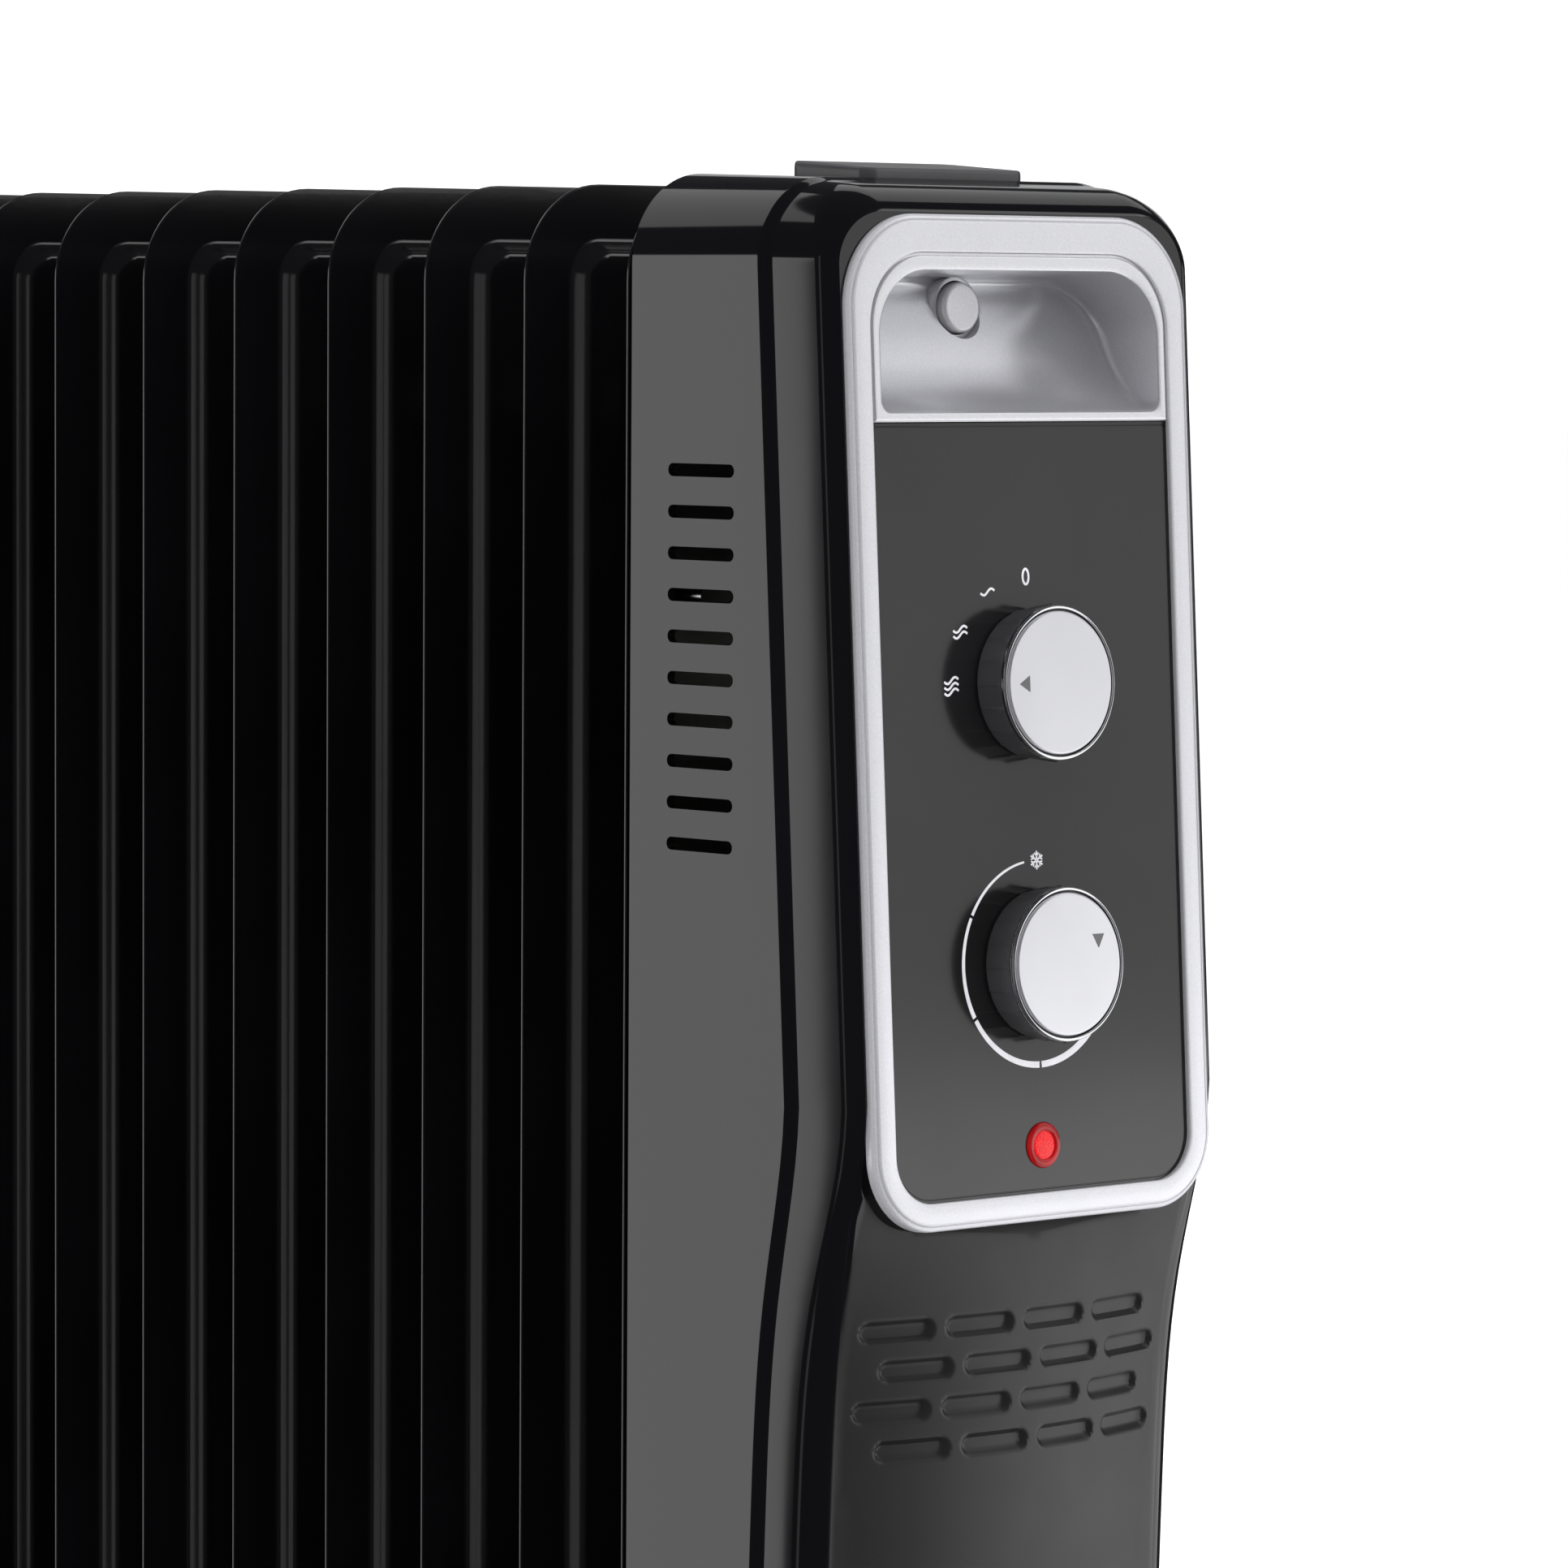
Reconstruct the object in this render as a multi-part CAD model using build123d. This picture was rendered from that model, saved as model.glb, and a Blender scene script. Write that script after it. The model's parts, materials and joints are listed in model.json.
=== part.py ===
from build123d import *
import math
import os

# Oil filled radiator heater: eleven pressed steel fins on two wheeled foot bars,
# with a leaning control housing on one end.
# Millimetres.  +X is the end with the controls, +Z is up, the origin is at the
# centre of the box's underside, on the floor.

# ---------------------------------------------------------------- overall
PANEL_X = 269.8          # where the control face plane passes height PANEL_Z
PANEL_Z = 495.0
PANEL_TILT = 3.2         # the control face leans back by this many degrees
HOUSING_TOP = 639.0
HOUSING_BOTTOM = 76.0

# ---------------------------------------------------------------- fins
FIN_COUNT = 11
FIN_PITCH = 45.0
FIN1_X = PANEL_X - 90.0
FIN_W = 146.0
FIN_BOTTOM = 66.5
FIN_TOP = 636.5
FIN_CORNER = 28.0
SHEET = 0.6
PAD_INSET = 17.0         # flange width round the drawn oil channel
PAD_CORNER = 14.0
PAD_HEIGHT = 6.0         # from the fin's mid-plane
PAD_DRAFT = 30.0
WEB_W = 46.0             # flat web between the two side channels
WEB_BOTTOM = 172.0
WEB_TOP = 540.0
HEADER_INSET = 62.0      # header centres, from the fin's top and bottom edges
NECK_R = 27.0
NECK_ROOT_R = 31.5
NECK_BORE_R = 20.0
CAP_REACH = 13.0         # closed headers of the two end fins, from the mid-plane

# ---------------------------------------------------------------- control housing
HOUSING_DEPTH = 86.0     # rear edge to control face plane, at PANEL_Z
HOUSING_W = 150.0
HOUSING_CORNER = 26.0
WALL = 2.6
FACE_SET = 3.6           # the housing's front lies this far behind the face plane
SEAM_BACK = 23.5         # side edge to front, upper housing
SEAM_BACK_CHIN = 19.0
BEVEL_BACK = 2.6
BEVEL_W = 72.0           # half width where the bevel ends, upper housing
BEVEL_W_CHIN = 67.0
LIP_STEP = 3.0
CHIN_START = 380.0       # below here the front falls back under the frame
CHIN_DEPTH = 11.0
CHIN_RUN = 50.0
CHIN_SLOPE = 0.09
CHIN_CROWN = 10.5
CROWN_HALF_W = 64.0
TOP_FLAT_X = 201.0       # forward of here the top falls towards the face
TOP_FALL = 2.7           # over the way to the face plane
VENT_COUNT = 10
VENT_PITCH = 11.67
VENT_TOP = 555.6
VENT_LENGTH = 27.7
VENT_HEIGHT = 3.7
VENT_BACK = 56.0         # vent centres, behind the face plane
UNDER_SLOTS = 5          # air slots in the housing's floor
UNDER_PITCH = 22.0
UNDER_W = 6.0
UNDER_BACK = 72.0        # their two ends, behind the face plane
UNDER_FRONT = 36.0
POST_R = 5.5
POST_LENGTH = 22.0
POST_BORE_R = 1.8
POST_BORE_DEPTH = 18.0
LAND_DEPTH = 15.0        # the ledge behind the frame, from the face plane
PLATE_THICK = 1.2
PLATE_GAP = 2.0          # between the rear plate's edge and the housing's wall, top and bottom
PLATE_HOLE_R = 31.0      # round the element's flange
LOUVRES = 6
LOUVRE_PITCH = 40.0
LOUVRE_LOW = 250.0
LOUVRE_HALF_W = 22.0
LOUVRE_HALF_H = 3.0
BLIND_PITCH_Y = 28.4
BLIND_PITCH_Z = 11.4
BLIND_TOP = 316.5
BLIND_SIZE = (23.0, 4.6)
BLIND_SHIFT = 3.6
BLIND_DEPTH = 1.2

# ---------------------------------------------------------------- control face
FRAME_HALF_W = 65.4
FRAME_TOP = 627.0        # heights along the leaning face, from PANEL_Z
FRAME_BOTTOM = 345.5
FRAME_R = 26.0
FRAME_R_LOW = 22.0
FRAME_EDGE = 0.6         # the frame's outer edge flares by this much
FRAME_SEAT = 3.2         # the frame, panel and recess sit this far behind the face
OPEN_HALF_W = 58.0
OPEN_TOP = 616.5
OPEN_BOTTOM = 352.6
OPEN_R = 14.0
PANEL_SPLIT = 569.7      # panel below, grip recess above
PANEL_SET = 1.2
RECESS_HALF_W = 54.0
RECESS_TOP = 612.0
RECESS_BOTTOM = 572.5
RECESS_R = 20.0
RECESS_DEPTH = 31.0
PAN_WALL = 2.0
BUTTON_Z = 603.0
BUTTON_R = 7.2
BUTTON_FACE = -23.4
COLLAR_FACE = -26.4
SPRING_BASE = -44.0
SPRING_LENGTH = 6.0
SPRING_R = 4.2
SPRING_WIRE_R = 0.4

SELECTOR_Z = 496.2
THERMOSTAT_Z = 417.3
KNOB_R = 21.7
KNOB_BASE = -0.4
KNOB_RIM = 11.7
KNOB_FLATS = 20
SHAFT_R = 3.0
SHAFT_BORE_R = 3.05
LAMP_Z = 366.2
LAMP_R = 6.5

# ---------------------------------------------------------------- feet
BAR_L = 240.0
BAR_W = 38.0
BAR_BOTTOM = 50.0
BAR_TOP = 64.0
WHEEL_R = 21.0
WHEEL_W = 14.0
AXLE_R = 2.5
CASTER_Y = 102.0
CASTER_TRAIL = 14.0
STEM_R = 4.0
U_ROD_R = 3.0
U_BEND_R = 32.0
FRONT_BAR_X = FIN1_X - FIN_PITCH / 2
REAR_BAR_X = FIN1_X - FIN_PITCH * (FIN_COUNT - 1.5)
HEADER_LOW = FIN_BOTTOM + HEADER_INSET
HEADER_HIGH = FIN_TOP - HEADER_INSET

TAN_TILT = math.tan(math.radians(PANEL_TILT))
FACE = Plane(
    origin=(PANEL_X, 0, PANEL_Z),
    x_dir=(0, 1, 0),
    z_dir=(math.cos(math.radians(PANEL_TILT)), 0, math.sin(math.radians(PANEL_TILT))),
)


def save(name, shape):
    """Write one piece under its node name."""
    export_step(Compound(children=list(shape.solids())) if len(shape.solids()) > 1 else shape.solid(),
                f"parts/{name}.step")


def on_face(shape, y=0.0, along=PANEL_Z, out=0.0):
    """Place a shape, modelled about +Z, on the leaning control face."""
    return FACE.location * Pos(y, along - PANEL_Z, out) * shape


def face_plate(half_w, low, high, r_top, r_bottom, back, front, taper=0.0):
    """A round-cornered plate on the control face, from depth back to depth front."""
    outline = Pos(0, (low + high) / 2 - PANEL_Z) * Rectangle(2 * half_w, high - low)
    middle = (low + high) / 2 - PANEL_Z
    outline = fillet(outline.vertices().filter_by(lambda v: v.Y > middle), r_top)
    outline = fillet(outline.vertices().filter_by(lambda v: v.Y < middle and abs(abs(v.X) - half_w) < 0.01
                                                  and abs(v.Y - (low - PANEL_Z)) < 0.01), r_bottom)
    solid = extrude(Pos(0, 0, back) * outline, amount=front - back, taper=taper)
    return FACE.location * solid


def disc(radius, low, high):
    """A cylinder about +Z from height low to height high."""
    return Pos(0, 0, low) * Cylinder(radius, high - low, align=(Align.CENTER, Align.CENTER, Align.MIN))


def rod_x(radius, x0, x1, y=0.0, z=0.0):
    """A cylinder along +X from x0 to x1."""
    return Pos(x0, y, z) * Rot(0, 90, 0) * Cylinder(radius, x1 - x0, align=(Align.CENTER, Align.CENTER, Align.MIN))


def rod_y(radius, y0, y1, x=0.0, z=0.0):
    """A cylinder along +Y from y0 to y1."""
    return Pos(x, y0, z) * Rot(-90, 0, 0) * Cylinder(radius, y1 - y0, align=(Align.CENTER, Align.CENTER, Align.MIN))


def block(x0, x1, y0, y1, z0, z1):
    """A box between two corners."""
    return Pos((x0 + x1) / 2, (y0 + y1) / 2, (z0 + z1) / 2) * Box(abs(x1 - x0), abs(y1 - y0), abs(z1 - z0))


# ---------------------------------------------------------------- fins
def fin_outline(inset, radius):
    """The fin's round-cornered outline on the YZ plane, drawn in by inset."""
    middle = (FIN_BOTTOM + FIN_TOP) / 2
    sheet = RectangleRounded(FIN_W - 2 * inset, FIN_TOP - FIN_BOTTOM - 2 * inset, radius)
    return Plane.YZ * Pos(0, middle) * sheet


def channel(inset, radius, height, web_grow, web_floor):
    """Both drawn halves of the oil channel, less the flat web in the middle above web_floor."""
    front = extrude(fin_outline(inset, radius), amount=height, taper=PAD_DRAFT)
    back = mirror(front, about=Plane.YZ)
    web_w = WEB_W + 2 * web_grow
    web_h = WEB_TOP - WEB_BOTTOM + 2 * web_grow
    web = Pos(0, (WEB_TOP + WEB_BOTTOM) / 2) * RectangleRounded(web_w, web_h, 12 + web_grow)
    web_cut = extrude(Plane.YZ.offset(web_floor) * web, amount=height + 1, taper=-20)
    web_cut += mirror(web_cut, about=Plane.YZ)
    return front + back - web_cut


def neck(root_r, tip_r, start, reach, z, side):
    """A drawn header boss from the fin's pad out to its end, on one side."""
    cone = Pos(0, 0, start) * Cone(root_r, tip_r, reach - start, align=(Align.CENTER, Align.CENTER, Align.MIN))
    return Pos(0, 0, z) * Rot(0, 90 * side, 0) * cone


def make_fin(number):
    """One fin: two drawn sheets welded at the rim, hollow inside, with header bosses."""
    first = number == 1
    last = number == FIN_COUNT
    reach = FIN_PITCH / 2
    fin = extrude(fin_outline(0, FIN_CORNER), amount=SHEET, both=True)
    fin += channel(PAD_INSET, PAD_CORNER, PAD_HEIGHT, 0, SHEET)
    hollow = channel(PAD_INSET + 1.4, PAD_CORNER - 1.4, PAD_HEIGHT - SHEET, SHEET + 0.6, 0)
    for side in (1, -1):
        closed = (side == 1 and first) or (side == -1 and last)
        end = CAP_REACH if closed else reach
        tip = NECK_ROOT_R - (NECK_ROOT_R - NECK_R) * (end - PAD_HEIGHT) / (reach - PAD_HEIGHT)
        for z in (HEADER_LOW, HEADER_HIGH):
            fin += neck(NECK_ROOT_R, tip, PAD_HEIGHT - 1.5, end, z, side)
            hollow += neck(NECK_ROOT_R - 1.2, tip - 1.2, 0, end - 1.2, z, side)
            if not closed or (first and z == HEADER_LOW):
                hollow += rod_x(NECK_BORE_R, min(0, side * (end + 1)), max(0, side * (end + 1)), z=z)
    if last:
        hollow += rod_x(5.0, -CAP_REACH - 1, 0, z=HEADER_HIGH)
    x = FIN1_X - FIN_PITCH * (number - 1)
    return Pos(x, 0, 0) * (fin - hollow)


# ---------------------------------------------------------------- control housing
def front_x(z):
    """The housing's front at height z, at its side edges."""
    x = PANEL_X - FACE_SET - (z - PANEL_Z) * TAN_TILT
    if z < CHIN_START:
        x -= CHIN_DEPTH * chin(z) + CHIN_SLOPE * (CHIN_START - z)
    return x


def chin(z):
    """0 on the upper housing, 1 well down the chin."""
    drop = max(0.0, CHIN_START - z)
    return 1 - math.exp(-(drop / CHIN_RUN) ** 2)


def housing_section(z, inset, rear, back_off):
    """A horizontal section of the housing, drawn in by inset."""
    front = front_x(z) - inset - back_off
    seam = front + inset - SEAM_BACK + (SEAM_BACK - SEAM_BACK_CHIN) * chin(z)
    half = HOUSING_W / 2 - inset
    bevel = BEVEL_W + (BEVEL_W_CHIN - BEVEL_W) * chin(z) - inset
    lip = bevel - LIP_STEP
    crown = CHIN_CROWN * chin(z)
    side = [(rear, half), (seam, half), (front - BEVEL_BACK, bevel), (front, lip)]
    middle = [(front + crown * (1 - k * k), k * lip) for k in (0.66, 0.33)]
    right = side + middle
    left = [(x, -y) for x, y in reversed(right)]
    points = [(x, y, z) for x, y in right + [(front + crown, 0)] + left]
    return make_face(Polyline(*points, close=True))


def housing_form(inset, rear):
    """The housing's solid outer form, or its inner form when inset by the wall."""
    top = HOUSING_TOP - inset
    low = HOUSING_BOTTOM + inset
    levels = [(top, 11.0), (top - 2.5, 5.0), (top - 7, 1.2), (top - 12, 0)]
    levels += [(z, 0) for z in (CHIN_START, 364, 352, 340, 326, 308, 284, 250, 180, low)]
    form = loft([housing_section(z, inset, rear, off) for z, off in levels], ruled=True)
    outline = Rectangle(HOUSING_W - 2 * inset, top - low)
    outline = fillet(outline.vertices().group_by(Axis.Y)[-1], HOUSING_CORNER - inset)
    outline = fillet(outline.vertices().group_by(Axis.Y)[0], 10 - inset)
    prism = extrude(Plane.YZ * Pos(0, (top + low) / 2) * outline, amount=400)
    return (form & prism) - above_top(top, 1)


def above_top(top, rise):
    """The wedge between the falling top at height top and a level rise above it."""
    corners = [(TOP_FLAT_X, 0, top), (PANEL_X, 0, top - TOP_FALL), (PANEL_X, 0, top + rise),
               (TOP_FLAT_X, 0, top + rise)]
    return extrude(make_face(Polyline(*corners, close=True)), amount=HOUSING_W, both=True)


def slot_y(x, z, length, height, y0, y1):
    """A round-ended slot, cut along Y."""
    return Pos(x, (y0 + y1) / 2, z) * Rot(90, 0, 0) * extrude(SlotOverall(length, height), amount=(y1 - y0) / 2,
                                                              both=True)


HOUSING_REAR = PANEL_X - HOUSING_DEPTH
PLATE_FRONT = FIN1_X + CAP_REACH + 1.2
GLAND_X = PANEL_X - 58.0
GLAND_Z = 122.0
GLAND_BORE_R = 4.0
GRIP_REAR = 201.0
GRIP_FRONT = 234.0
GRIP_W = 62.0
GRIP_RISE = 4.0          # above the housing's top, at the rear
GRIP_FRONT_TOP = HOUSING_TOP + 1.6
PEG_X = (GRIP_REAR + GRIP_FRONT) / 2
PEG_Y = 20.0
PEG_R = 3.0
POST_Z = (150.0, 340.0, 520.0, 606.0)
POST_Y = HOUSING_W / 2 - WALL - 4.4


def make_housing():
    """The moulded control housing: an open-backed shell with vents and screw posts."""
    outer = housing_form(0, HOUSING_REAR)
    shell = outer - housing_form(WALL, HOUSING_REAR - 5)
    land = face_plate(FRAME_HALF_W + FRAME_EDGE, FRAME_BOTTOM - FRAME_EDGE, FRAME_TOP + FRAME_EDGE,
                      FRAME_R + FRAME_EDGE, FRAME_R_LOW, -LAND_DEPTH, -FRAME_SEAT)
    seat = face_plate(FRAME_HALF_W + FRAME_EDGE + 0.1, FRAME_BOTTOM - FRAME_EDGE - 0.1,
                      FRAME_TOP + FRAME_EDGE + 0.1, FRAME_R + FRAME_EDGE, FRAME_R_LOW, -FRAME_SEAT, 12)
    land_hollow = face_plate(FRAME_HALF_W - 3, FRAME_BOTTOM + 3, FRAME_TOP - 3, FRAME_R - 4, FRAME_R_LOW - 4,
                             -LAND_DEPTH - 1, -FRAME_SEAT - WALL)
    shell = shell - seat + (land - land_hollow)
    shell -= face_plate(OPEN_HALF_W - 2, OPEN_BOTTOM + 2.4, OPEN_TOP - 2, 18, 10, -20, 5)
    for k in range(VENT_COUNT):
        z = VENT_TOP - k * VENT_PITCH
        shell -= slot_y(PANEL_X - VENT_BACK, z, VENT_LENGTH, VENT_HEIGHT, -HOUSING_W, HOUSING_W)
    for row in range(4):
        shift = BLIND_SHIFT if row % 2 else -BLIND_SHIFT
        for column in range(4):
            y = (column - 1.5) * BLIND_PITCH_Y + shift
            z = BLIND_TOP - row * BLIND_PITCH_Z
            crown = CHIN_CROWN * chin(z) * (1 - (y / CROWN_HALF_W) ** 2)
            floor_x = front_x(z) + crown - BLIND_DEPTH
            slot = Plane.YZ.offset(floor_x) * Pos(y, z) * SlotOverall(*BLIND_SIZE)
            shell -= extrude(slot, amount=CHIN_CROWN)
    for z in POST_Z:
        for side in (-1, 1):
            post = rod_x(POST_R, PLATE_FRONT, PLATE_FRONT + POST_LENGTH, side * POST_Y, z)
            shell += post & outer
            shell -= rod_x(POST_BORE_R, PLATE_FRONT - 1, PLATE_FRONT + POST_BORE_DEPTH, side * POST_Y, z)
    for k in range(UNDER_SLOTS):
        y = (k - (UNDER_SLOTS - 1) / 2) * UNDER_PITCH
        shell -= block(PANEL_X - UNDER_BACK, PANEL_X - UNDER_FRONT, y - UNDER_W / 2, y + UNDER_W / 2,
                       HOUSING_BOTTOM - 1, HOUSING_BOTTOM + WALL + 1)
    shell -= rod_y(7.0, HOUSING_W / 2 - WALL - 1, HOUSING_W / 2 + 1, GLAND_X, GLAND_Z)
    for side in (-1, 1):
        shell -= Pos(PEG_X, side * PEG_Y, HOUSING_TOP - 10) * disc(PEG_R, 0, 12)
    return shell


def make_rear_plate():
    """The steel heat shield that closes the housing's back and carries it on the first fin."""
    low, high = HOUSING_BOTTOM + WALL + PLATE_GAP, HOUSING_TOP - WALL - PLATE_GAP
    outline = RectangleRounded(HOUSING_W - 2 * WALL - 2, high - low, HOUSING_CORNER - WALL)
    back = Plane.YZ.offset(PLATE_FRONT - PLATE_THICK)
    plate = extrude(back * Pos(0, (low + high) / 2) * outline, amount=PLATE_THICK)
    plate -= rod_x(PLATE_HOLE_R, PLATE_FRONT - 3, PLATE_FRONT + 1, z=HEADER_LOW)
    for z in POST_Z:
        for side in (-1, 1):
            plate -= rod_x(2.0, PLATE_FRONT - 3, PLATE_FRONT + 1, side * POST_Y, z)
    for y in (-12, 12):
        plate -= rod_x(2.2, PLATE_FRONT - 3, PLATE_FRONT + 1, y, HEADER_HIGH)
    for k in range(LOUVRES):
        z = LOUVRE_LOW + k * LOUVRE_PITCH
        plate -= block(PLATE_FRONT - 3, PLATE_FRONT + 1, -LOUVRE_HALF_W, LOUVRE_HALF_W,
                       z - LOUVRE_HALF_H, z + LOUVRE_HALF_H)
    return plate


def make_plate_screws():
    """Screws through the rear plate into the housing's posts."""
    screws = []
    for z in POST_Z:
        for side in (-1, 1):
            back = PLATE_FRONT - PLATE_THICK
            head = rod_x(3.6, back - 2.4, back, side * POST_Y, z)
            shank = rod_x(1.75, back - 1, PLATE_FRONT + 14, side * POST_Y, z)
            drive = block(back - 3, back - 1.4, side * POST_Y - 2.2, side * POST_Y + 2.2, z - 0.5, z + 0.5)
            drive += block(back - 3, back - 1.4, side * POST_Y - 0.5, side * POST_Y + 0.5, z - 2.2, z + 2.2)
            screws.append(head + shank - drive)
    return Compound(children=[s.solid() for s in screws])


# ---------------------------------------------------------------- control face
def make_silver_frame():
    """The satin frame round the control face."""
    ring = face_plate(FRAME_HALF_W, FRAME_BOTTOM, FRAME_TOP, FRAME_R, 21, -1.2, 0)
    ring += face_plate(FRAME_HALF_W + FRAME_EDGE, FRAME_BOTTOM - FRAME_EDGE, FRAME_TOP + FRAME_EDGE,
                       FRAME_R + FRAME_EDGE, FRAME_R_LOW, -FRAME_SEAT, -1.2)
    return ring - face_plate(OPEN_HALF_W, OPEN_BOTTOM, OPEN_TOP, 21, OPEN_R, -5, 1)


def make_control_panel():
    """The dark panel that carries the knobs and the lamp."""
    panel = face_plate(OPEN_HALF_W - 0.1, OPEN_BOTTOM + 0.1, PANEL_SPLIT, 0.4, OPEN_R - 0.1, -FRAME_SEAT, -PANEL_SET)
    for along in (SELECTOR_Z, THERMOSTAT_Z):
        panel -= on_face(disc(5.0, -4, 0), along=along)
        for side in (-1, 1):
            panel -= on_face(disc(1.6, -4, 0), y=side * 12, along=along)
    panel -= on_face(disc(LAMP_R, -4, 0), along=LAMP_Z)
    return panel


def recess_profile(grow):
    """The side profile of the grip recess, in depth and height, as a slab across the width."""
    back = RECESS_DEPTH + grow
    low, high = RECESS_BOTTOM - grow, RECESS_TOP + grow
    scoop = Spline((4 + grow, low), (20.5 + grow, low + 15.5), (back, high - 3), tangents=[(1, 0.25), (0.4, 1)])
    run = [Line((-5, low), (4 + grow, low)), scoop, Line((back, high - 3), (back, high)),
           Line((back, high), (-5, high)), Line((-5, high), (-5, low))]
    section = make_face(Wire(run))
    slab = extrude(section, amount=70, both=True)
    return FACE.location * Pos(0, -PANEL_Z, 0) * Plane(origin=(0, 0, 0), x_dir=(0, 0, -1), z_dir=(1, 0, 0)).location * slab


def recess_pan(grow):
    """The hollow of the grip recess, or its outer wall when grown."""
    outline = face_plate(RECESS_HALF_W + grow, RECESS_BOTTOM - grow, RECESS_TOP + grow, RECESS_R + grow, 4 + grow,
                         -RECESS_DEPTH - 12, 3)
    return outline & recess_profile(grow)


def make_grip_insert():
    """The silver grip recess: a raised rim round a scooped finger pocket."""
    rim = face_plate(OPEN_HALF_W - 0.1, PANEL_SPLIT + 0.1, OPEN_TOP - 0.1, 21, 0.4, -FRAME_SEAT, -0.9)
    rim += face_plate(OPEN_HALF_W - 1.9, PANEL_SPLIT + 0.1, OPEN_TOP - 1.9, 20, 0.4, -1.0, 0.0)
    wall = recess_pan(PAN_WALL) & face_plate(OPEN_HALF_W - 0.5, PANEL_SPLIT - 4, OPEN_TOP + 4, 21, 3, -60, -1.0)
    body = rim + wall - recess_pan(0)
    collar = on_face(disc(BUTTON_R + 2.0, -RECESS_DEPTH - 3, COLLAR_FACE), along=BUTTON_Z)
    body += collar & recess_pan(PAN_WALL)
    body -= on_face(disc(BUTTON_R + 0.4, -60, COLLAR_FACE + 8), along=BUTTON_Z)
    return body


def make_grip_button():
    """The round push button on the back wall of the grip recess."""
    cap = on_face(disc(BUTTON_R, -38, BUTTON_FACE), along=BUTTON_Z)
    cap = fillet(cap.edges().sort_by(lambda e: e.center().X)[-1], 0.8)
    stop = on_face(disc(BUTTON_R + 2.4, -38, -36.2), along=BUTTON_Z)
    return cap + stop


def make_button_spring():
    """The button's return spring: a short coil between the button and its micro switch."""
    turns = Helix(pitch=1.9, height=SPRING_LENGTH - 1.4, radius=SPRING_R)
    wire = sweep(Plane(origin=turns @ 0, z_dir=turns % 0) * Circle(SPRING_WIRE_R), path=turns, is_frenet=True)
    return on_face(Pos(0, 0, SPRING_BASE + 0.7) * wire, along=BUTTON_Z)


def make_button_switch():
    """The micro switch behind the grip button, on two legs to the recess's back."""
    case = Pos(0, 0, SPRING_BASE) * Box(22, 16, 8, align=(Align.CENTER, Align.CENTER, Align.MAX))
    case = fillet(case.edges().filter_by(Axis.Z), 1.5)
    for side in (-1, 1):
        case += Pos(side * 5, 0, SPRING_BASE - 8) * Box(1, 5, 8, align=(Align.CENTER, Align.CENTER, Align.MAX))
    return on_face(case, along=BUTTON_Z)


def knob_skirt():
    """A knob's dark grip skirt, with flats round its side and a hub inside."""
    outer = disc(KNOB_R + 0.5, KNOB_BASE, KNOB_RIM - 1.8)
    flats = Pos(0, 0, KNOB_BASE) * extrude(RegularPolygon(KNOB_R + 0.65, KNOB_FLATS), amount=20)
    outer = outer & flats
    crown = disc(KNOB_R - 1.1, KNOB_RIM - 2.6, KNOB_RIM - 0.8)
    pocket = disc(KNOB_R - 2.6, KNOB_BASE - 1, KNOB_RIM - 4.6)
    hub = disc(6.5, KNOB_BASE, KNOB_RIM - 4)
    return outer + crown - pocket + hub - disc(SHAFT_R, KNOB_BASE - 1, KNOB_RIM - 4.2)


def knob_ring():
    """The thin bright ring at a knob's rim."""
    return disc(KNOB_R, KNOB_RIM - 1.8, KNOB_RIM) - disc(KNOB_R - 1.1, KNOB_RIM - 3, KNOB_RIM + 1)


def knob_cap():
    """A knob's satin cap, slightly crowned, on the skirt's crown."""
    cap = disc(KNOB_R - 1.5, KNOB_RIM - 0.8, KNOB_RIM + 0.3)
    return fillet(cap.edges().group_by(Axis.Z)[-1], 0.4)


def knob_shaft():
    """The knob's steel shaft into its switch."""
    return disc(SHAFT_R, -19, KNOB_RIM - 4.2)


def switch_body(depth, width):
    """A switch or thermostat block behind the panel, bored for its shaft."""
    body = Pos(0, 0, -FRAME_SEAT - depth / 2) * Box(width, width, depth)
    body = fillet(body.edges().filter_by(Axis.Z), 2.0)
    body -= disc(SHAFT_BORE_R, -20, 1)
    for side in (-1, 1):
        body -= Pos(side * 12, 0, 0) * disc(1.5, -FRAME_SEAT - 9, 1)
    tags = [Pos((k - 1) * 9, width / 2 - 4, -FRAME_SEAT - depth) * Box(6, 0.8, 12, align=(Align.CENTER, Align.CENTER,
            Align.MAX)) for k in range(3)]
    for tag in tags:
        body += tag
    return body


def make_switch_screws():
    """Screws that hold the two switches to the panel, under the knobs."""
    screws = []
    for along in (SELECTOR_Z, THERMOSTAT_Z):
        for side in (-1, 1):
            screw = disc(2.6, -PANEL_SET, -PANEL_SET + 0.5) + disc(1.5, -FRAME_SEAT - 8, -PANEL_SET)
            screws.append(on_face(screw, y=side * 12, along=along))
    return Compound(children=[s.solid() for s in screws])


def make_lamp_lens():
    """The round red lens: a flanged cup with a low dome."""
    dome = disc(LAMP_R - 0.05, -PANEL_SET - 4, -PANEL_SET + 1.2)
    dome = fillet(dome.edges().group_by(Axis.Z)[-1], 1.0)
    return on_face(dome - disc(LAMP_R - 1.4, -PANEL_SET - 5, -PANEL_SET), along=LAMP_Z)


def make_lamp_body():
    """The neon lamp and its holder behind the lens."""
    neon = disc(2.6, -PANEL_SET - 4.5, -PANEL_SET - 0.8)
    holder = disc(LAMP_R - 0.5, -24, -PANEL_SET - 4)
    return on_face(neon + holder, along=LAMP_Z)


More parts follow.
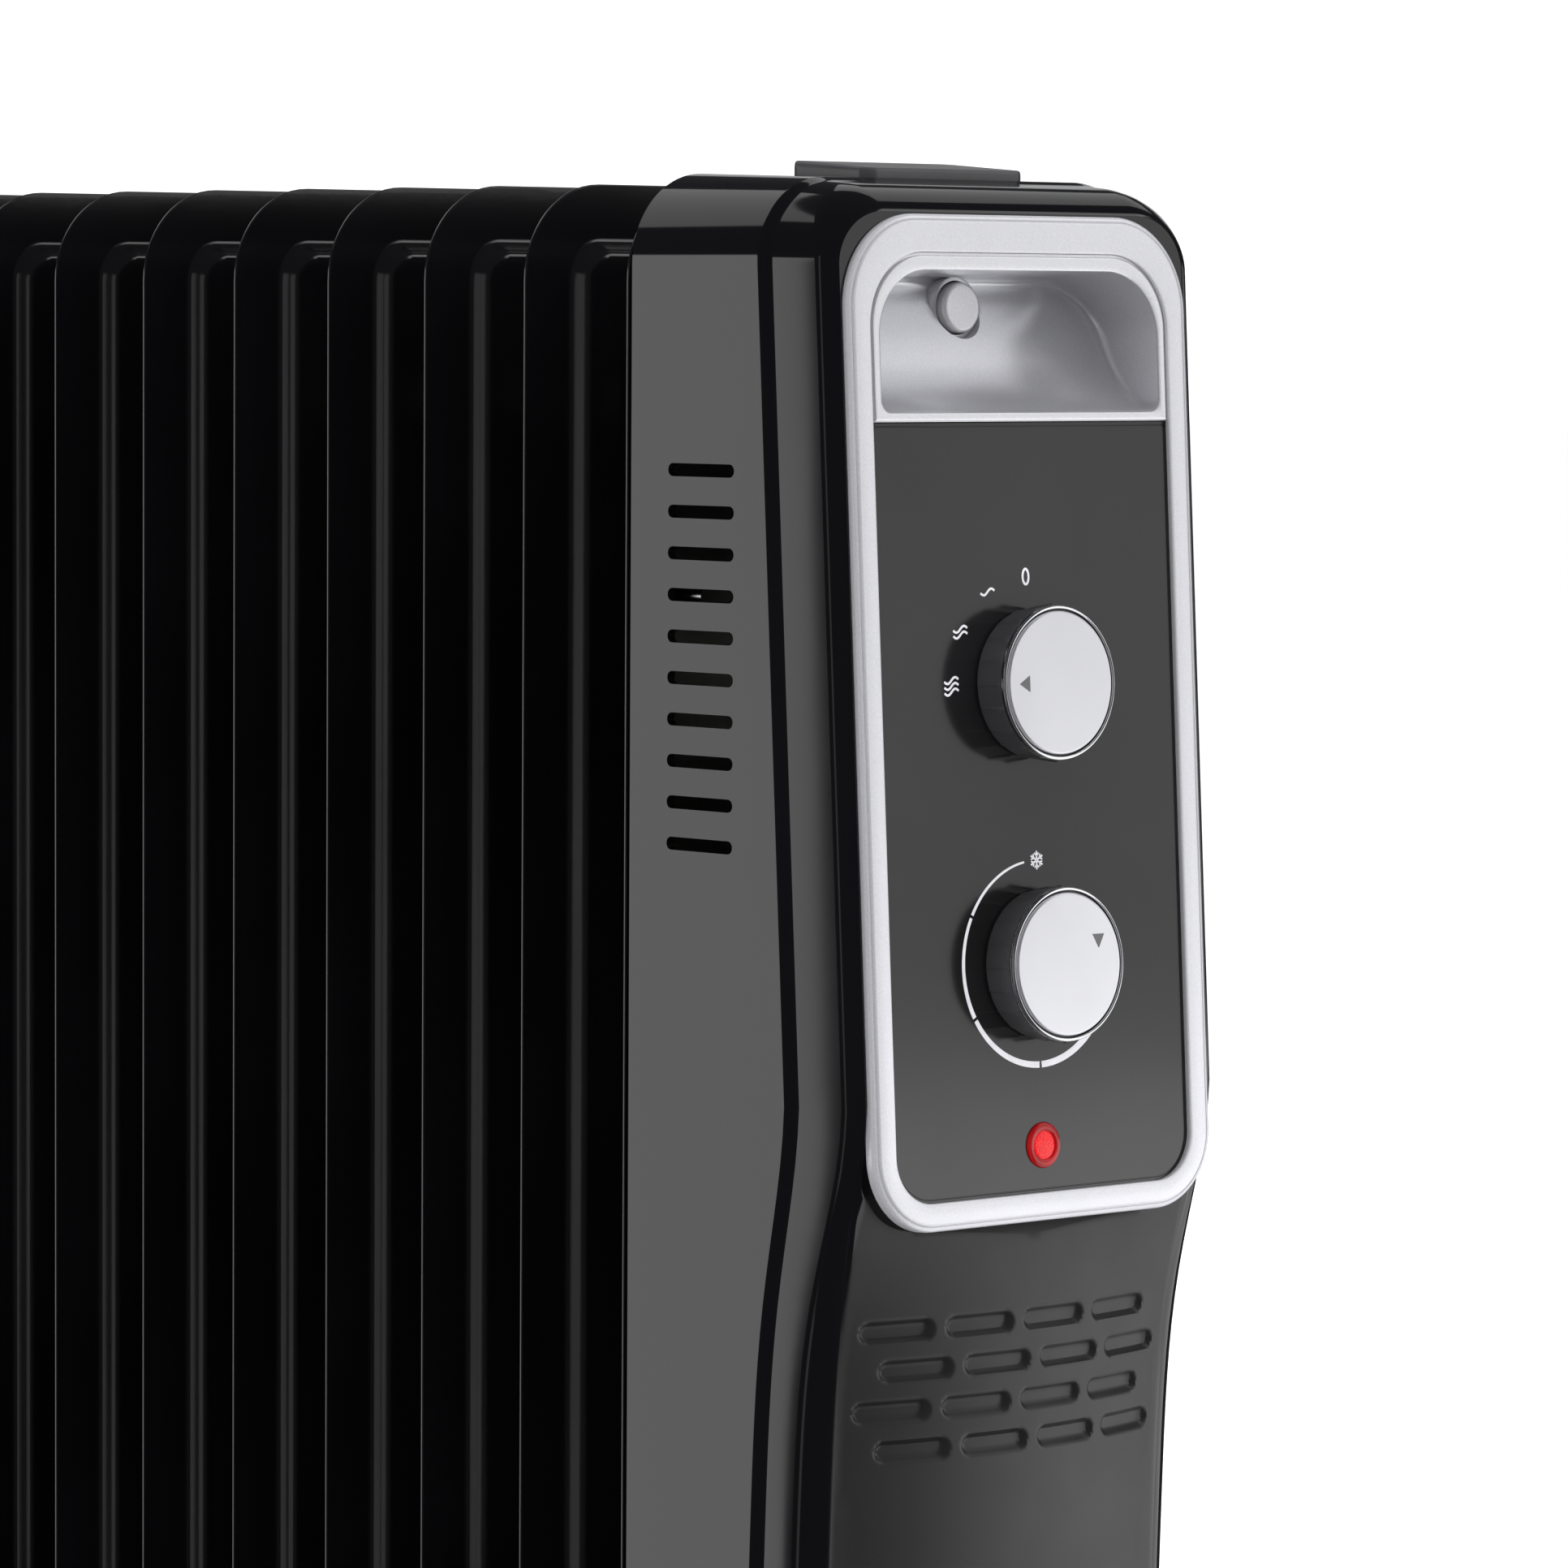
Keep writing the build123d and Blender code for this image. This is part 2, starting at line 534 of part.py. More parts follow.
# ---------------------------------------------------------------- top bar
def make_top_grip():
    """The smoked grip block on top of the housing, falling towards the front, on two pegs."""
    fall = TOP_FALL * (GRIP_FRONT - TOP_FLAT_X) / (PANEL_X - TOP_FLAT_X)
    corners = [(GRIP_REAR, 0, HOUSING_TOP), (GRIP_FRONT, 0, HOUSING_TOP - fall), (GRIP_FRONT, 0, GRIP_FRONT_TOP),
               (GRIP_REAR, 0, HOUSING_TOP + GRIP_RISE)]
    grip = extrude(make_face(Polyline(*corners, close=True)), amount=GRIP_W / 2, both=True)
    uprights = [e for e in grip.edges() if abs(e.tangent_at(0.5).Z) > 0.9]
    grip = fillet(uprights, 4)
    grip = fillet(grip.faces().sort_by(Axis.Z)[-1].edges(), 0.8)
    for side in (-1, 1):
        grip += Pos(PEG_X, side * PEG_Y, HOUSING_TOP - 8) * disc(PEG_R, 0, 8)
    return grip


# ---------------------------------------------------------------- heating system
FLANGE_BACK = FIN1_X + CAP_REACH
ELEMENT_END = FIN1_X - 7.6 * FIN_PITCH
ELEMENT_LEG_R = 11.0
TUBE_R = 4.0


def make_element_gasket():
    """The flat seal between the first fin's lower header and the element's flange."""
    return rod_x(NECK_R - 2, FLANGE_BACK, FLANGE_BACK + 1.5, z=HEADER_LOW) - rod_x(
        NECK_BORE_R, FLANGE_BACK - 1, FLANGE_BACK + 3, z=HEADER_LOW)


def make_heating_element():
    """Two sheathed hairpin tubes on a flange, lying in the lower header's oil."""
    back = FLANGE_BACK + 1.5
    element = rod_x(NECK_R - 1, back, back + 5, z=HEADER_LOW)
    element += Pos(back + 5, 0, HEADER_LOW) * Rot(0, 90, 0) * extrude(RegularPolygon(17, 6), amount=6)
    for side in (-1, 1):
        y = side * 6.5
        legs = [(back + 2, y, HEADER_LOW + 8.5), (ELEMENT_END, y, HEADER_LOW + 8.5),
                (ELEMENT_END, y, HEADER_LOW - 8.5), (back + 2, y, HEADER_LOW - 8.5)]
        bend = ThreePointArc(legs[1], (ELEMENT_END - 8.5, y, HEADER_LOW), legs[2])
        path = Wire([Line(legs[0], legs[1]), bend, Line(legs[2], legs[3])])
        start = Plane(origin=legs[0], z_dir=(-1, 0, 0))
        element += sweep(start * Circle(TUBE_R), path=path)
        for z in (8.5, -8.5):
            element += rod_x(2.0, back + 8, back + 20, y, HEADER_LOW + z)
    return element


def make_oil_plug():
    """The oil filler's crimped plug in the last fin's upper header."""
    end = FIN1_X - FIN_PITCH * (FIN_COUNT - 1) - CAP_REACH
    plug = rod_x(5.0, end, end + 5, z=HEADER_HIGH)
    cap = Pos(end, 0, HEADER_HIGH) * Rot(0, -90, 0) * extrude(RegularPolygon(8, 6), amount=4)
    return plug + cap


def make_thermal_cutout():
    """The round thermal cut-out clipped to the rear plate."""
    can = rod_x(8.5, PLATE_FRONT, PLATE_FRONT + 7, 0, 212)
    for side in (-1, 1):
        can += block(PLATE_FRONT + 7, PLATE_FRONT + 14, side * 5 - 0.4, side * 5 + 0.4, 209, 215)
    return can


def make_cutout_bracket():
    """The spring clip that holds the cut-out to the plate."""
    strap = block(PLATE_FRONT, PLATE_FRONT + 1, -24, 24, 200, 224)
    strap -= rod_x(8.6, PLATE_FRONT - 1, PLATE_FRONT + 2, 0, 212)
    return strap


def make_tilt_switch():
    """The tip-over switch's case on the rear plate."""
    case = block(PLATE_FRONT, PLATE_FRONT + 22, -58, -30, 96, 130)
    case = fillet(case.edges().filter_by(Axis.X), 3)
    for k in range(2):
        case += block(PLATE_FRONT + 8, PLATE_FRONT + 14, -50 + k * 10, -49 + k * 10, 129, 138)
    return case


def make_terminal_block():
    """The three-way mains terminal block by the cord inlet."""
    base = block(PLATE_FRONT, PLATE_FRONT + 5, 14, 52, 160, 184)
    for k in range(3):
        tower = block(PLATE_FRONT + 4, PLATE_FRONT + 17, 17 + k * 12, 25 + k * 12, 162, 182)
        tower -= rod_x(2.2, PLATE_FRONT + 9, PLATE_FRONT + 18, 21 + k * 12, 172)
        base += tower
    return base


def wire(points, bends):
    """One insulated wire along a run with round bends."""
    path = FilletPolyline(*points, radius=bends)
    start = Plane(origin=path @ 0, z_dir=path % 0)
    return sweep(start * Circle(1.4), path=path)


def make_wiring():
    """The wires from the terminal block to the switches, the cut-out and the element."""
    x = PLATE_FRONT + 30
    low = FLANGE_BACK + 22
    runs = [
        [(x, 21, 150), (x, 21, 240), (x, 30, 330), (x, 30, 385)],
        [(x, 33, 150), (x, 33, 260), (x + 4, 38, 360), (x + 4, 38, 470)],
        [(x, -6.5, 150), (x, -14, 240), (x, -28, 330), (x, -28, 385)],
        [(x + 6, 6.5, 150), (x + 6, -6, 260), (x + 6, -40, 360), (x + 6, -40, 470)],
    ]
    return Compound(children=[wire(run, 20).solid() for run in runs])


def make_cord_gland():
    """The cord inlet: a flanged bush in the housing's side wall."""
    wall_out = HOUSING_W / 2
    bush = rod_y(7.0, wall_out - WALL - 8, wall_out, GLAND_X, GLAND_Z)
    bush += rod_y(10.5, wall_out, wall_out + 3, GLAND_X, GLAND_Z)
    bush += rod_y(9.0, wall_out - WALL - 6, wall_out - WALL, GLAND_X, GLAND_Z)
    return bush - rod_y(GLAND_BORE_R, wall_out - 20, wall_out + 5, GLAND_X, GLAND_Z)


# ---------------------------------------------------------------- feet
def make_foot_bar(x):
    """A foot bar: a hollow-backed beam with round ends, bolt holes and caster sockets."""
    bar = Pos(x, 0, BAR_BOTTOM) * extrude(SlotOverall(BAR_L, BAR_W, rotation=90), amount=BAR_TOP - BAR_BOTTOM)
    bar = fillet(bar.edges().group_by(Axis.Z)[-1], 3)
    inner = Pos(x, 0, BAR_BOTTOM - 1) * extrude(SlotOverall(BAR_L - 7, BAR_W - 7, rotation=90),
                                                amount=BAR_TOP - BAR_BOTTOM - 2.5)
    bar -= inner
    for side in (-1, 1):
        bar += Pos(x, side * CASTER_Y, 0) * disc(9.5, BAR_BOTTOM, BAR_TOP - 2)
        bar += Pos(x, side * U_BEND_R, 0) * disc(9.0, BAR_BOTTOM, BAR_TOP - 2)
        bar += block(x - 1.5, x + 1.5, side * U_BEND_R, side * CASTER_Y, BAR_BOTTOM + 4, BAR_TOP - 2)
    bar += block(x - 1.5, x + 1.5, -U_BEND_R, U_BEND_R, BAR_BOTTOM + 4, BAR_TOP - 2)
    for side in (-1, 1):
        bar -= Pos(x, side * CASTER_Y, 0) * disc(STEM_R + 0.05, BAR_BOTTOM - 1, BAR_TOP - 3)
        bar -= Pos(x, side * U_BEND_R, 0) * disc(U_ROD_R + 0.1, BAR_BOTTOM - 1, BAR_TOP + 1)
    return bar


def make_u_bolt(x):
    """A U bolt over the necks between two fins, down through the foot bar."""
    low = BAR_BOTTOM - 12
    left, right = (x, -U_BEND_R, low), (x, U_BEND_R, low)
    over = ThreePointArc((x, -U_BEND_R, HEADER_LOW), (x, 0, HEADER_LOW + U_BEND_R), (x, U_BEND_R, HEADER_LOW))
    path = Wire([Line(left, (x, -U_BEND_R, HEADER_LOW)), over, Line((x, U_BEND_R, HEADER_LOW), right)])
    return sweep(Plane(origin=left, z_dir=(0, 0, 1)) * Circle(U_ROD_R), path=path)


def make_wing_nuts():
    """The wing nuts under both foot bars."""
    nuts = []
    for x in (FRONT_BAR_X, REAR_BAR_X):
        for side in (-1, 1):
            nut = Pos(0, 0, BAR_BOTTOM - 8) * Cone(5.2, 6.5, 8, align=(Align.CENTER, Align.CENTER, Align.MIN))
            for wing in (-1, 1):
                ear = Pos(0, wing * 9, BAR_BOTTOM - 9) * Rot(0, 90, 0) * Cylinder(5.5, 2.4)
                nut += ear - disc(4.0, 0, BAR_TOP)
            nut = nut & disc(20, BAR_BOTTOM - 20, BAR_BOTTOM)
            nuts.append(Pos(x, side * U_BEND_R, 0) * (nut - disc(U_ROD_R, 0, BAR_TOP)))
    return Compound(children=[n.solid() for n in nuts])


CASTERS = {
    "front_left": (FRONT_BAR_X, CASTER_Y),
    "front_right": (FRONT_BAR_X, -CASTER_Y),
    "rear_left": (REAR_BAR_X, CASTER_Y),
    "rear_right": (REAR_BAR_X, -CASTER_Y),
}
FORK_TOP = BAR_BOTTOM - 3.0


def make_fork(x, y):
    """A caster fork: a hooded pair of cheeks under a swivel stem."""
    half = WHEEL_W / 2
    hood = Pos(x + CASTER_TRAIL, y, WHEEL_R) * Rot(90, 0, 0) * Cylinder(WHEEL_R + 5, 2 * half + 7)
    hood &= block(x - 14, x + 30, y - 20, y + 20, WHEEL_R - 6, FORK_TOP)
    plate = Pos(x, y, 0) * disc(half + 3.5, FORK_TOP - 4, FORK_TOP)
    plate += block(x, x + CASTER_TRAIL, y - half - 3.5, y + half + 3.5, FORK_TOP - 4, FORK_TOP)
    fork = hood + plate
    room = Pos(x + CASTER_TRAIL, y, WHEEL_R) * Rot(90, 0, 0) * Cylinder(WHEEL_R + 1.5, 2 * half + 2)
    fork -= room
    fork += Pos(x, y, 0) * disc(6.5, FORK_TOP - 1, BAR_BOTTOM)
    fork += Pos(x, y, 0) * disc(STEM_R, FORK_TOP - 1, BAR_TOP - 3.5)
    return fork - rod_y(AXLE_R, y - 20, y + 20, x + CASTER_TRAIL, WHEEL_R)


def make_wheel(x, y):
    """A caster wheel: a rounded tyre on a dished hub."""
    wheel = rod_y(WHEEL_R, y - WHEEL_W / 2, y + WHEEL_W / 2, x + CASTER_TRAIL, WHEEL_R)
    wheel = fillet(wheel.edges(), 2.5)
    for side in (-1, 1):
        dish = Pos(x + CASTER_TRAIL, y + side * WHEEL_W / 2, WHEEL_R) * Rot(90, 0, 0)
        wheel -= dish * (Cylinder(WHEEL_R - 4.5, 7) - Cylinder(5.5, 8))
    return wheel - rod_y(AXLE_R + 0.05, y - 20, y + 20, x + CASTER_TRAIL, WHEEL_R)


def make_axle(x, y):
    """A caster's steel axle, headed at both ends."""
    half = WHEEL_W / 2 + 3.5
    axle = rod_y(AXLE_R, y - half - 0.6, y + half + 0.6, x + CASTER_TRAIL, WHEEL_R)
    for side in (-1, 1):
        low = min(side * half, side * (half + 1.0))
        axle += rod_y(3.6, y + low, y + low + 1.0, x + CASTER_TRAIL, WHEEL_R)
    return axle


# ---------------------------------------------------------------- write every piece
os.makedirs("parts", exist_ok=True)

for number in range(1, FIN_COUNT + 1):
    save(f"fin_{number:02d}", make_fin(number))
save("oil_filler_plug", make_oil_plug())
save("element_gasket", make_element_gasket())
save("heating_element", make_heating_element())

save("control_housing", make_housing())
save("rear_plate", make_rear_plate())
save("rear_plate_screws", make_plate_screws())
save("top_grip", make_top_grip())
save("cord_gland", make_cord_gland())
save("terminal_block", make_terminal_block())
save("tilt_switch", make_tilt_switch())
save("thermal_cutout", make_thermal_cutout())
save("cutout_bracket", make_cutout_bracket())
save("internal_wiring", make_wiring())

save("silver_frame", make_silver_frame())
save("control_panel", make_control_panel())
save("grip_insert", make_grip_insert())
save("grip_button", make_grip_button())
save("button_spring", make_button_spring())
save("button_switch", make_button_switch())
save("lamp_lens", make_lamp_lens())
save("lamp_body", make_lamp_body())
save("selector_switch", on_face(switch_body(20, 34), along=SELECTOR_Z))
save("thermostat_body", on_face(switch_body(24, 38), along=THERMOSTAT_Z))
save("switch_screws", make_switch_screws())
for name, along in (("selector", SELECTOR_Z), ("thermostat", THERMOSTAT_Z)):
    save(f"{name}_knob", on_face(knob_skirt(), along=along))
    save(f"{name}_knob_ring", on_face(knob_ring(), along=along))
    save(f"{name}_knob_cap", on_face(knob_cap(), along=along))
    save(f"{name}_shaft", on_face(knob_shaft(), along=along))

save("front_foot_bar", make_foot_bar(FRONT_BAR_X))
save("rear_foot_bar", make_foot_bar(REAR_BAR_X))
save("front_u_bolt", make_u_bolt(FRONT_BAR_X))
save("rear_u_bolt", make_u_bolt(REAR_BAR_X))
save("wing_nuts", make_wing_nuts())
for name, (x, y) in CASTERS.items():
    save(f"{name}_fork", make_fork(x, y))
    save(f"{name}_wheel", make_wheel(x, y))
    save(f"{name}_axle", make_axle(x, y))
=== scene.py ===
import json
import math

import bmesh
import bpy
from mathutils import Matrix, Vector
from mathutils.geometry import delaunay_2d_cdt


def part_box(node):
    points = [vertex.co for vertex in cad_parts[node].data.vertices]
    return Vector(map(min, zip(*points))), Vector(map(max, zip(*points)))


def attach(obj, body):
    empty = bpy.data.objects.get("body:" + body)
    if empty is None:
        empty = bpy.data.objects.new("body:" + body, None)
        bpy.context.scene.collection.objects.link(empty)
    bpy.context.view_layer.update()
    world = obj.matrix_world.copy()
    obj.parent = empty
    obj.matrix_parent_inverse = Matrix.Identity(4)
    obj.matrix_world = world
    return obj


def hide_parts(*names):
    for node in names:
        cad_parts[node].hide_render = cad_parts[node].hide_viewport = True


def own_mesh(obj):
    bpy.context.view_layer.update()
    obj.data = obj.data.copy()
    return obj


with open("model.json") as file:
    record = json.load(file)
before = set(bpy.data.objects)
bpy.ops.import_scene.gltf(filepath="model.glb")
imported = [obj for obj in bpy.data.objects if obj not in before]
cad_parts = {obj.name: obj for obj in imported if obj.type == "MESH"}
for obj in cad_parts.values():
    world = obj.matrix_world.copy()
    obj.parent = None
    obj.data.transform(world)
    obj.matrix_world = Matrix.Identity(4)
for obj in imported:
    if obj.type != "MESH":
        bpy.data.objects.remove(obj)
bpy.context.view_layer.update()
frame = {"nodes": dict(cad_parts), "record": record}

# Shapes are drawn in millimetres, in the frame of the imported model; add_mesh turns them to metres.

# ---------------------------------------------------------------- driving dimensions
TILT = math.radians(3.2)                       # the control face leans back
FACE_N = Vector((math.cos(TILT), 0, math.sin(TILT)))
FACE_U = Vector((-math.sin(TILT), 0, math.cos(TILT)))
FACE_Z = 495.0                                 # height of the face frame's origin
FACE_X = 269.8
CHIN_START, CHIN_DEPTH, CHIN_RUN, CHIN_SLOPE = 380.0, 11.0, 50.0, 0.09
CHIN_CROWN = 10.5
TO_METRES = 0.001
BODY = "radiator"


def mm_box(node):
    """A CAD node's lowest and highest corner, in millimetres."""
    low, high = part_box(node)
    return low * 1000, high * 1000


HOUSING_TOP = mm_box("control_housing")[1].z


# ---------------------------------------------------------------- mesh helpers
SAME_POINT = 3e-6                              # points nearer than this, in metres, are one
FLAT_WEIGHT = 90                               # how far large flat faces lead the shading


def add_mesh(name, points, faces, material, body=BODY, smooth_angle=35.0, flat_first=True):
    """A mesh piece that rides on a body, with smooth shading up to an angle."""
    mesh = bpy.data.meshes.new(name)
    mesh.from_pydata([tuple(p * TO_METRES) for p in points], [], faces)
    mesh.validate()
    mesh.update()
    piece = bpy.data.objects.new(name, mesh)
    bpy.context.scene.collection.objects.link(piece)
    piece.data.materials.append(material)
    finish_mesh(piece, smooth_angle)
    if flat_first:
        weighted = piece.modifiers.new("flat_faces_first", "WEIGHTED_NORMAL")
        weighted.keep_sharp = True
        weighted.weight = FLAT_WEIGHT
    if body:
        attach(piece, body)
    return piece


def finish_mesh(piece, smooth_angle):
    """Joins doubled points, turns faces outward and shades smooth up to an angle."""
    work = bmesh.new()
    work.from_mesh(piece.data)
    bmesh.ops.remove_doubles(work, verts=work.verts, dist=SAME_POINT)
    bmesh.ops.dissolve_degenerate(work, edges=work.edges, dist=1e-6)
    bmesh.ops.recalc_face_normals(work, faces=work.faces)
    limit = math.radians(smooth_angle)
    for face in work.faces:
        face.smooth = True
    for edge in work.edges:
        if len(edge.link_faces) == 2:
            edge.smooth = edge.calc_face_angle(0.0) < limit
    work.to_mesh(piece.data)
    work.free()


class Build:
    """Points and faces gathered for one piece."""

    def __init__(self):
        self.points = []
        self.faces = []

    def ring(self, points):
        """Adds points and returns their numbers."""
        start = len(self.points)
        self.points += points
        return list(range(start, start + len(points)))

    def bridge(self, a, b):
        """Joins two closed rings of the same length with faces."""
        count = len(a)
        for i in range(count):
            j = (i + 1) % count
            self.faces.append((a[i], a[j], b[j], b[i]))

    def fill(self, loops, place, inner=()):
        """Fills flat loops (the first is the outside, the others are holes) and places each point."""
        flat, edges = [], []
        for loop in loops:
            start = len(flat)
            flat += [Vector(p) for p in loop]
            edges += [(start + i, start + (i + 1) % len(loop)) for i in range(len(loop))]
        flat += [Vector(p) for p in inner]
        points, _, faces, _, _, _ = delaunay_2d_cdt(flat, edges, [], 0, 1e-7)
        start = len(self.points)
        self.points += [place(p.x, p.y) for p in points]
        for face in faces:
            middle = sum((points[i] for i in face), Vector((0, 0))) / len(face)
            if inside(middle, loops[0]) and not any(inside(middle, hole) for hole in loops[1:]):
                self.faces.append(tuple(start + i for i in face))


def inside(point, loop):
    """Whether a flat point is inside a closed loop."""
    x, y = point
    hit = False
    for i in range(len(loop)):
        x0, y0 = loop[i]
        x1, y1 = loop[i - 1]
        if (y0 > y) != (y1 > y) and x < (x1 - x0) * (y - y0) / (y1 - y0) + x0:
            hit = not hit
    return hit


def face_point(y, along, out=0.0):
    """A point on the leaning control face: across, height along the face, and out of it."""
    rise = along - FACE_Z
    return Vector((FACE_X, y, FACE_Z)) + FACE_U * rise + FACE_N * out


def rounded_loop(half_w, low, high, r_low, r_high, arc=12, sides=()):
    """Points and outward normals round a round-cornered rectangle, counter-clockwise from the lower right.

    sides adds points at these heights on both straight sides."""
    loop = []
    corners = [(half_w - r_low, low + r_low, r_low, -90), (half_w - r_high, high - r_high, r_high, 0),
               (-half_w + r_high, high - r_high, r_high, 90), (-half_w + r_low, low + r_low, r_low, 180)]
    for k, (y, z, r, start) in enumerate(corners):
        for i in range(arc + 1):
            a = math.radians(start + 90 * i / arc)
            n = Vector((math.cos(a), math.sin(a)))
            loop.append((Vector((y, z)) + n * r, n))
        if k in (0, 2):
            levels = sorted(s for s in sides if low + r_low + 1 < s < high - r_high - 1)
            side = 1 if k == 0 else -1
            for s in levels if k == 0 else reversed(levels):
                loop.append((Vector((side * half_w, s)), Vector((side, 0))))
    return loop


def inset_loop(loop, inset):
    """The loop's points, drawn in by inset."""
    return [p - n * inset for p, n in loop]


def sweep_profile(build, loop, profile, place):
    """Bridges a profile of (inset, out) pairs round a loop. Returns the rings."""
    rings = [build.ring([place(p.x, p.y, out) for p in inset_loop(loop, inset)]) for inset, out in profile]
    for a, b in zip(rings, rings[1:]):
        build.bridge(a, b)
    return rings


def lathe(build, profile, place, count=96, shape=None):
    """Turns a profile of (radius, height) about +Z. shape(angle, k) scales the radius."""
    rings = []
    for k, (r, h) in enumerate(profile):
        if r <= 0:
            rings.append(build.ring([place(0, 0, h)]))
            continue
        ring = []
        for i in range(count):
            a = 2 * math.pi * i / count
            rr = r * (shape(a, k) if shape else 1)
            ring.append(place(rr * math.cos(a), rr * math.sin(a), h))
        rings.append(build.ring(ring))
    for a, b in zip(rings, rings[1:]):
        if len(a) == 1:
            build.faces += [(a[0], b[i], b[(i + 1) % count]) for i in range(count)]
        elif len(b) == 1:
            build.faces += [(a[i], a[(i + 1) % count], b[0]) for i in range(count)]
        else:
            build.bridge(a, b)
    return rings


def frange(start, stop, gap):
    """Evenly spaced numbers from start up to stop."""
    return [start + gap * i for i in range(int((stop - start) / gap + 1e-6) + 1)]


def step(t):
    """A smooth rise from 0 to 1."""
    t = min(1.0, max(0.0, t))
    return t * t * (3 - 2 * t)


# ---------------------------------------------------------------- materials
RAMP_ENDS = (0.35, 0.65)                       # where noise starts and ends changing the colour


class Nodes:
    """A material with a Principled shader and a short way to add nodes to it."""

    def __init__(self, name, **values):
        self.material = bpy.data.materials.new(name)
        self.material.use_nodes = True
        self.tree = self.material.node_tree
        self.shader = self.tree.nodes["Principled BSDF"]
        for key, value in values.items():
            self.shader.inputs[key.replace("_", " ")].default_value = value
        self.where = self.add("ShaderNodeTexCoord").outputs["Object"]

    def add(self, kind, **values):
        node = self.tree.nodes.new(kind)
        for key, value in values.items():
            if hasattr(node, key):
                setattr(node, key, value)
            else:
                node.inputs[key.replace("_", " ")].default_value = value
        return node

    def link(self, source, target):
        self.tree.links.new(source, target)

    def noise(self, scale, detail=3.0, roughness=0.5):
        """Noise fixed to the object, from 0 to 1."""
        node = self.add("ShaderNodeTexNoise", Scale=scale, Detail=detail, Roughness=roughness)
        self.link(self.where, node.inputs["Vector"])
        return node.outputs["Fac"]

    def span(self, source, low, high):
        """A 0 to 1 source, stretched to run from low to high."""
        node = self.add("ShaderNodeMapRange")
        node.inputs["To Min"].default_value = low
        node.inputs["To Max"].default_value = high
        self.link(source, node.inputs["Value"])
        return node.outputs["Result"]

    def colours(self, source, low, high):
        """Blends the base colour from low to high as the source rises."""
        ramp = self.add("ShaderNodeValToRGB")
        ramp.color_ramp.elements[0].position, ramp.color_ramp.elements[1].position = RAMP_ENDS
        ramp.color_ramp.elements[0].color = (*low, 1)
        ramp.color_ramp.elements[1].color = (*high, 1)
        self.link(source, ramp.inputs["Fac"])
        self.link(ramp.outputs["Color"], self.shader.inputs["Base Color"])

    def roughness(self, source, low, high):
        self.link(self.span(source, low, high), self.shader.inputs["Roughness"])

    def bump(self, layers):
        """layers: (height output, strength, distance) stacked into one normal."""
        normal = None
        for height, strength, distance in layers:
            node = self.add("ShaderNodeBump", Strength=strength, Distance=distance)
            self.link(height, node.inputs["Height"])
            if normal:
                self.link(normal, node.inputs["Normal"])
            normal = node.outputs["Normal"]
        self.link(normal, self.shader.inputs["Normal"])


def enamel_material():
    """Stoved gloss black enamel: a faint orange peel and thin dust."""
    m = Nodes("fin_enamel", IOR=1.5, Coat_Weight=0.4, Coat_Roughness=0.04)
    m.colours(m.noise(9.0), (0.0016, 0.0016, 0.0020), (0.0030, 0.0030, 0.0037))
    m.roughness(m.noise(26.0, 4.0), 0.14, 0.24)
    m.bump([(m.noise(420.0, 2.0), 0.05, 0.0004), (m.noise(60.0, 1.0), 0.05, 0.001)])
    return m.material


def gloss_material():
    """Gloss black moulded plastic, near mirror with a faint ripple; fine satin grain on the chin."""
    m = Nodes("housing_gloss", IOR=1.52)
    mask = chin_mask(m)
    shades = []
    gloss_tones = ((0.0016, 0.0016, 0.002), (0.0028, 0.0028, 0.0034))
    satin_tones = ((0.008, 0.008, 0.0085), (0.011, 0.011, 0.0115))
    for low, high in (gloss_tones, satin_tones):
        ramp = m.add("ShaderNodeValToRGB")
        ramp.color_ramp.elements[0].color = (*low, 1)
        ramp.color_ramp.elements[1].color = (*high, 1)
        m.link(m.noise(9.0), ramp.inputs["Fac"])
        shades.append(ramp.outputs["Color"])
    mix = m.add("ShaderNodeMix", data_type="RGBA")
    m.link(mask, mix.inputs["Factor"])
    m.link(shades[0], mix.inputs[6])
    m.link(shades[1], mix.inputs[7])
    m.link(mix.outputs[2], m.shader.inputs["Base Color"])
    rough = m.add("ShaderNodeMix", data_type="FLOAT")
    m.link(mask, rough.inputs["Factor"])
    m.link(m.span(m.noise(18.0, 5.0), 0.04, 0.10), rough.inputs[2])
    m.link(m.span(m.noise(60.0, 4.0), 0.40, 0.50), rough.inputs[3])
    m.link(rough.outputs[0], m.shader.inputs["Roughness"])
    grain = m.add("ShaderNodeMath", operation="MULTIPLY")
    m.link(mask, grain.inputs[0])
    m.link(m.noise(2200.0, 3.0), grain.inputs[1])
    m.bump([(m.noise(24.0, 1.0), 0.012, 0.001), (grain.outputs[0], 0.2, 0.0001)])
    return m.material


def satin_plastic(name, low, high, rough_low, rough_high, grain=2200.0, strength=0.12):
    """Fine-grained moulded plastic."""
    m = Nodes(name, IOR=1.5)
    m.colours(m.noise(14.0, 4.0), low, high)
    m.roughness(m.noise(40.0, 4.0), rough_low, rough_high)
    m.bump([(m.noise(grain, 3.0), strength, 0.00012), (m.noise(35.0, 2.0), 0.02, 0.001)])
    return m.material


def metal(name, low, high, rough_low, rough_high, metallic=1.0, grain=1500.0, strength=0.05):
    """Bare, plated or metallic-painted surfaces."""
    m = Nodes(name, Metallic=metallic)
    m.colours(m.noise(11.0, 4.0), low, high)
    m.roughness(m.noise(55.0, 4.0), rough_low, rough_high)
    m.bump([(m.noise(grain, 3.0, 0.6), strength, 0.0001)])
    return m.material


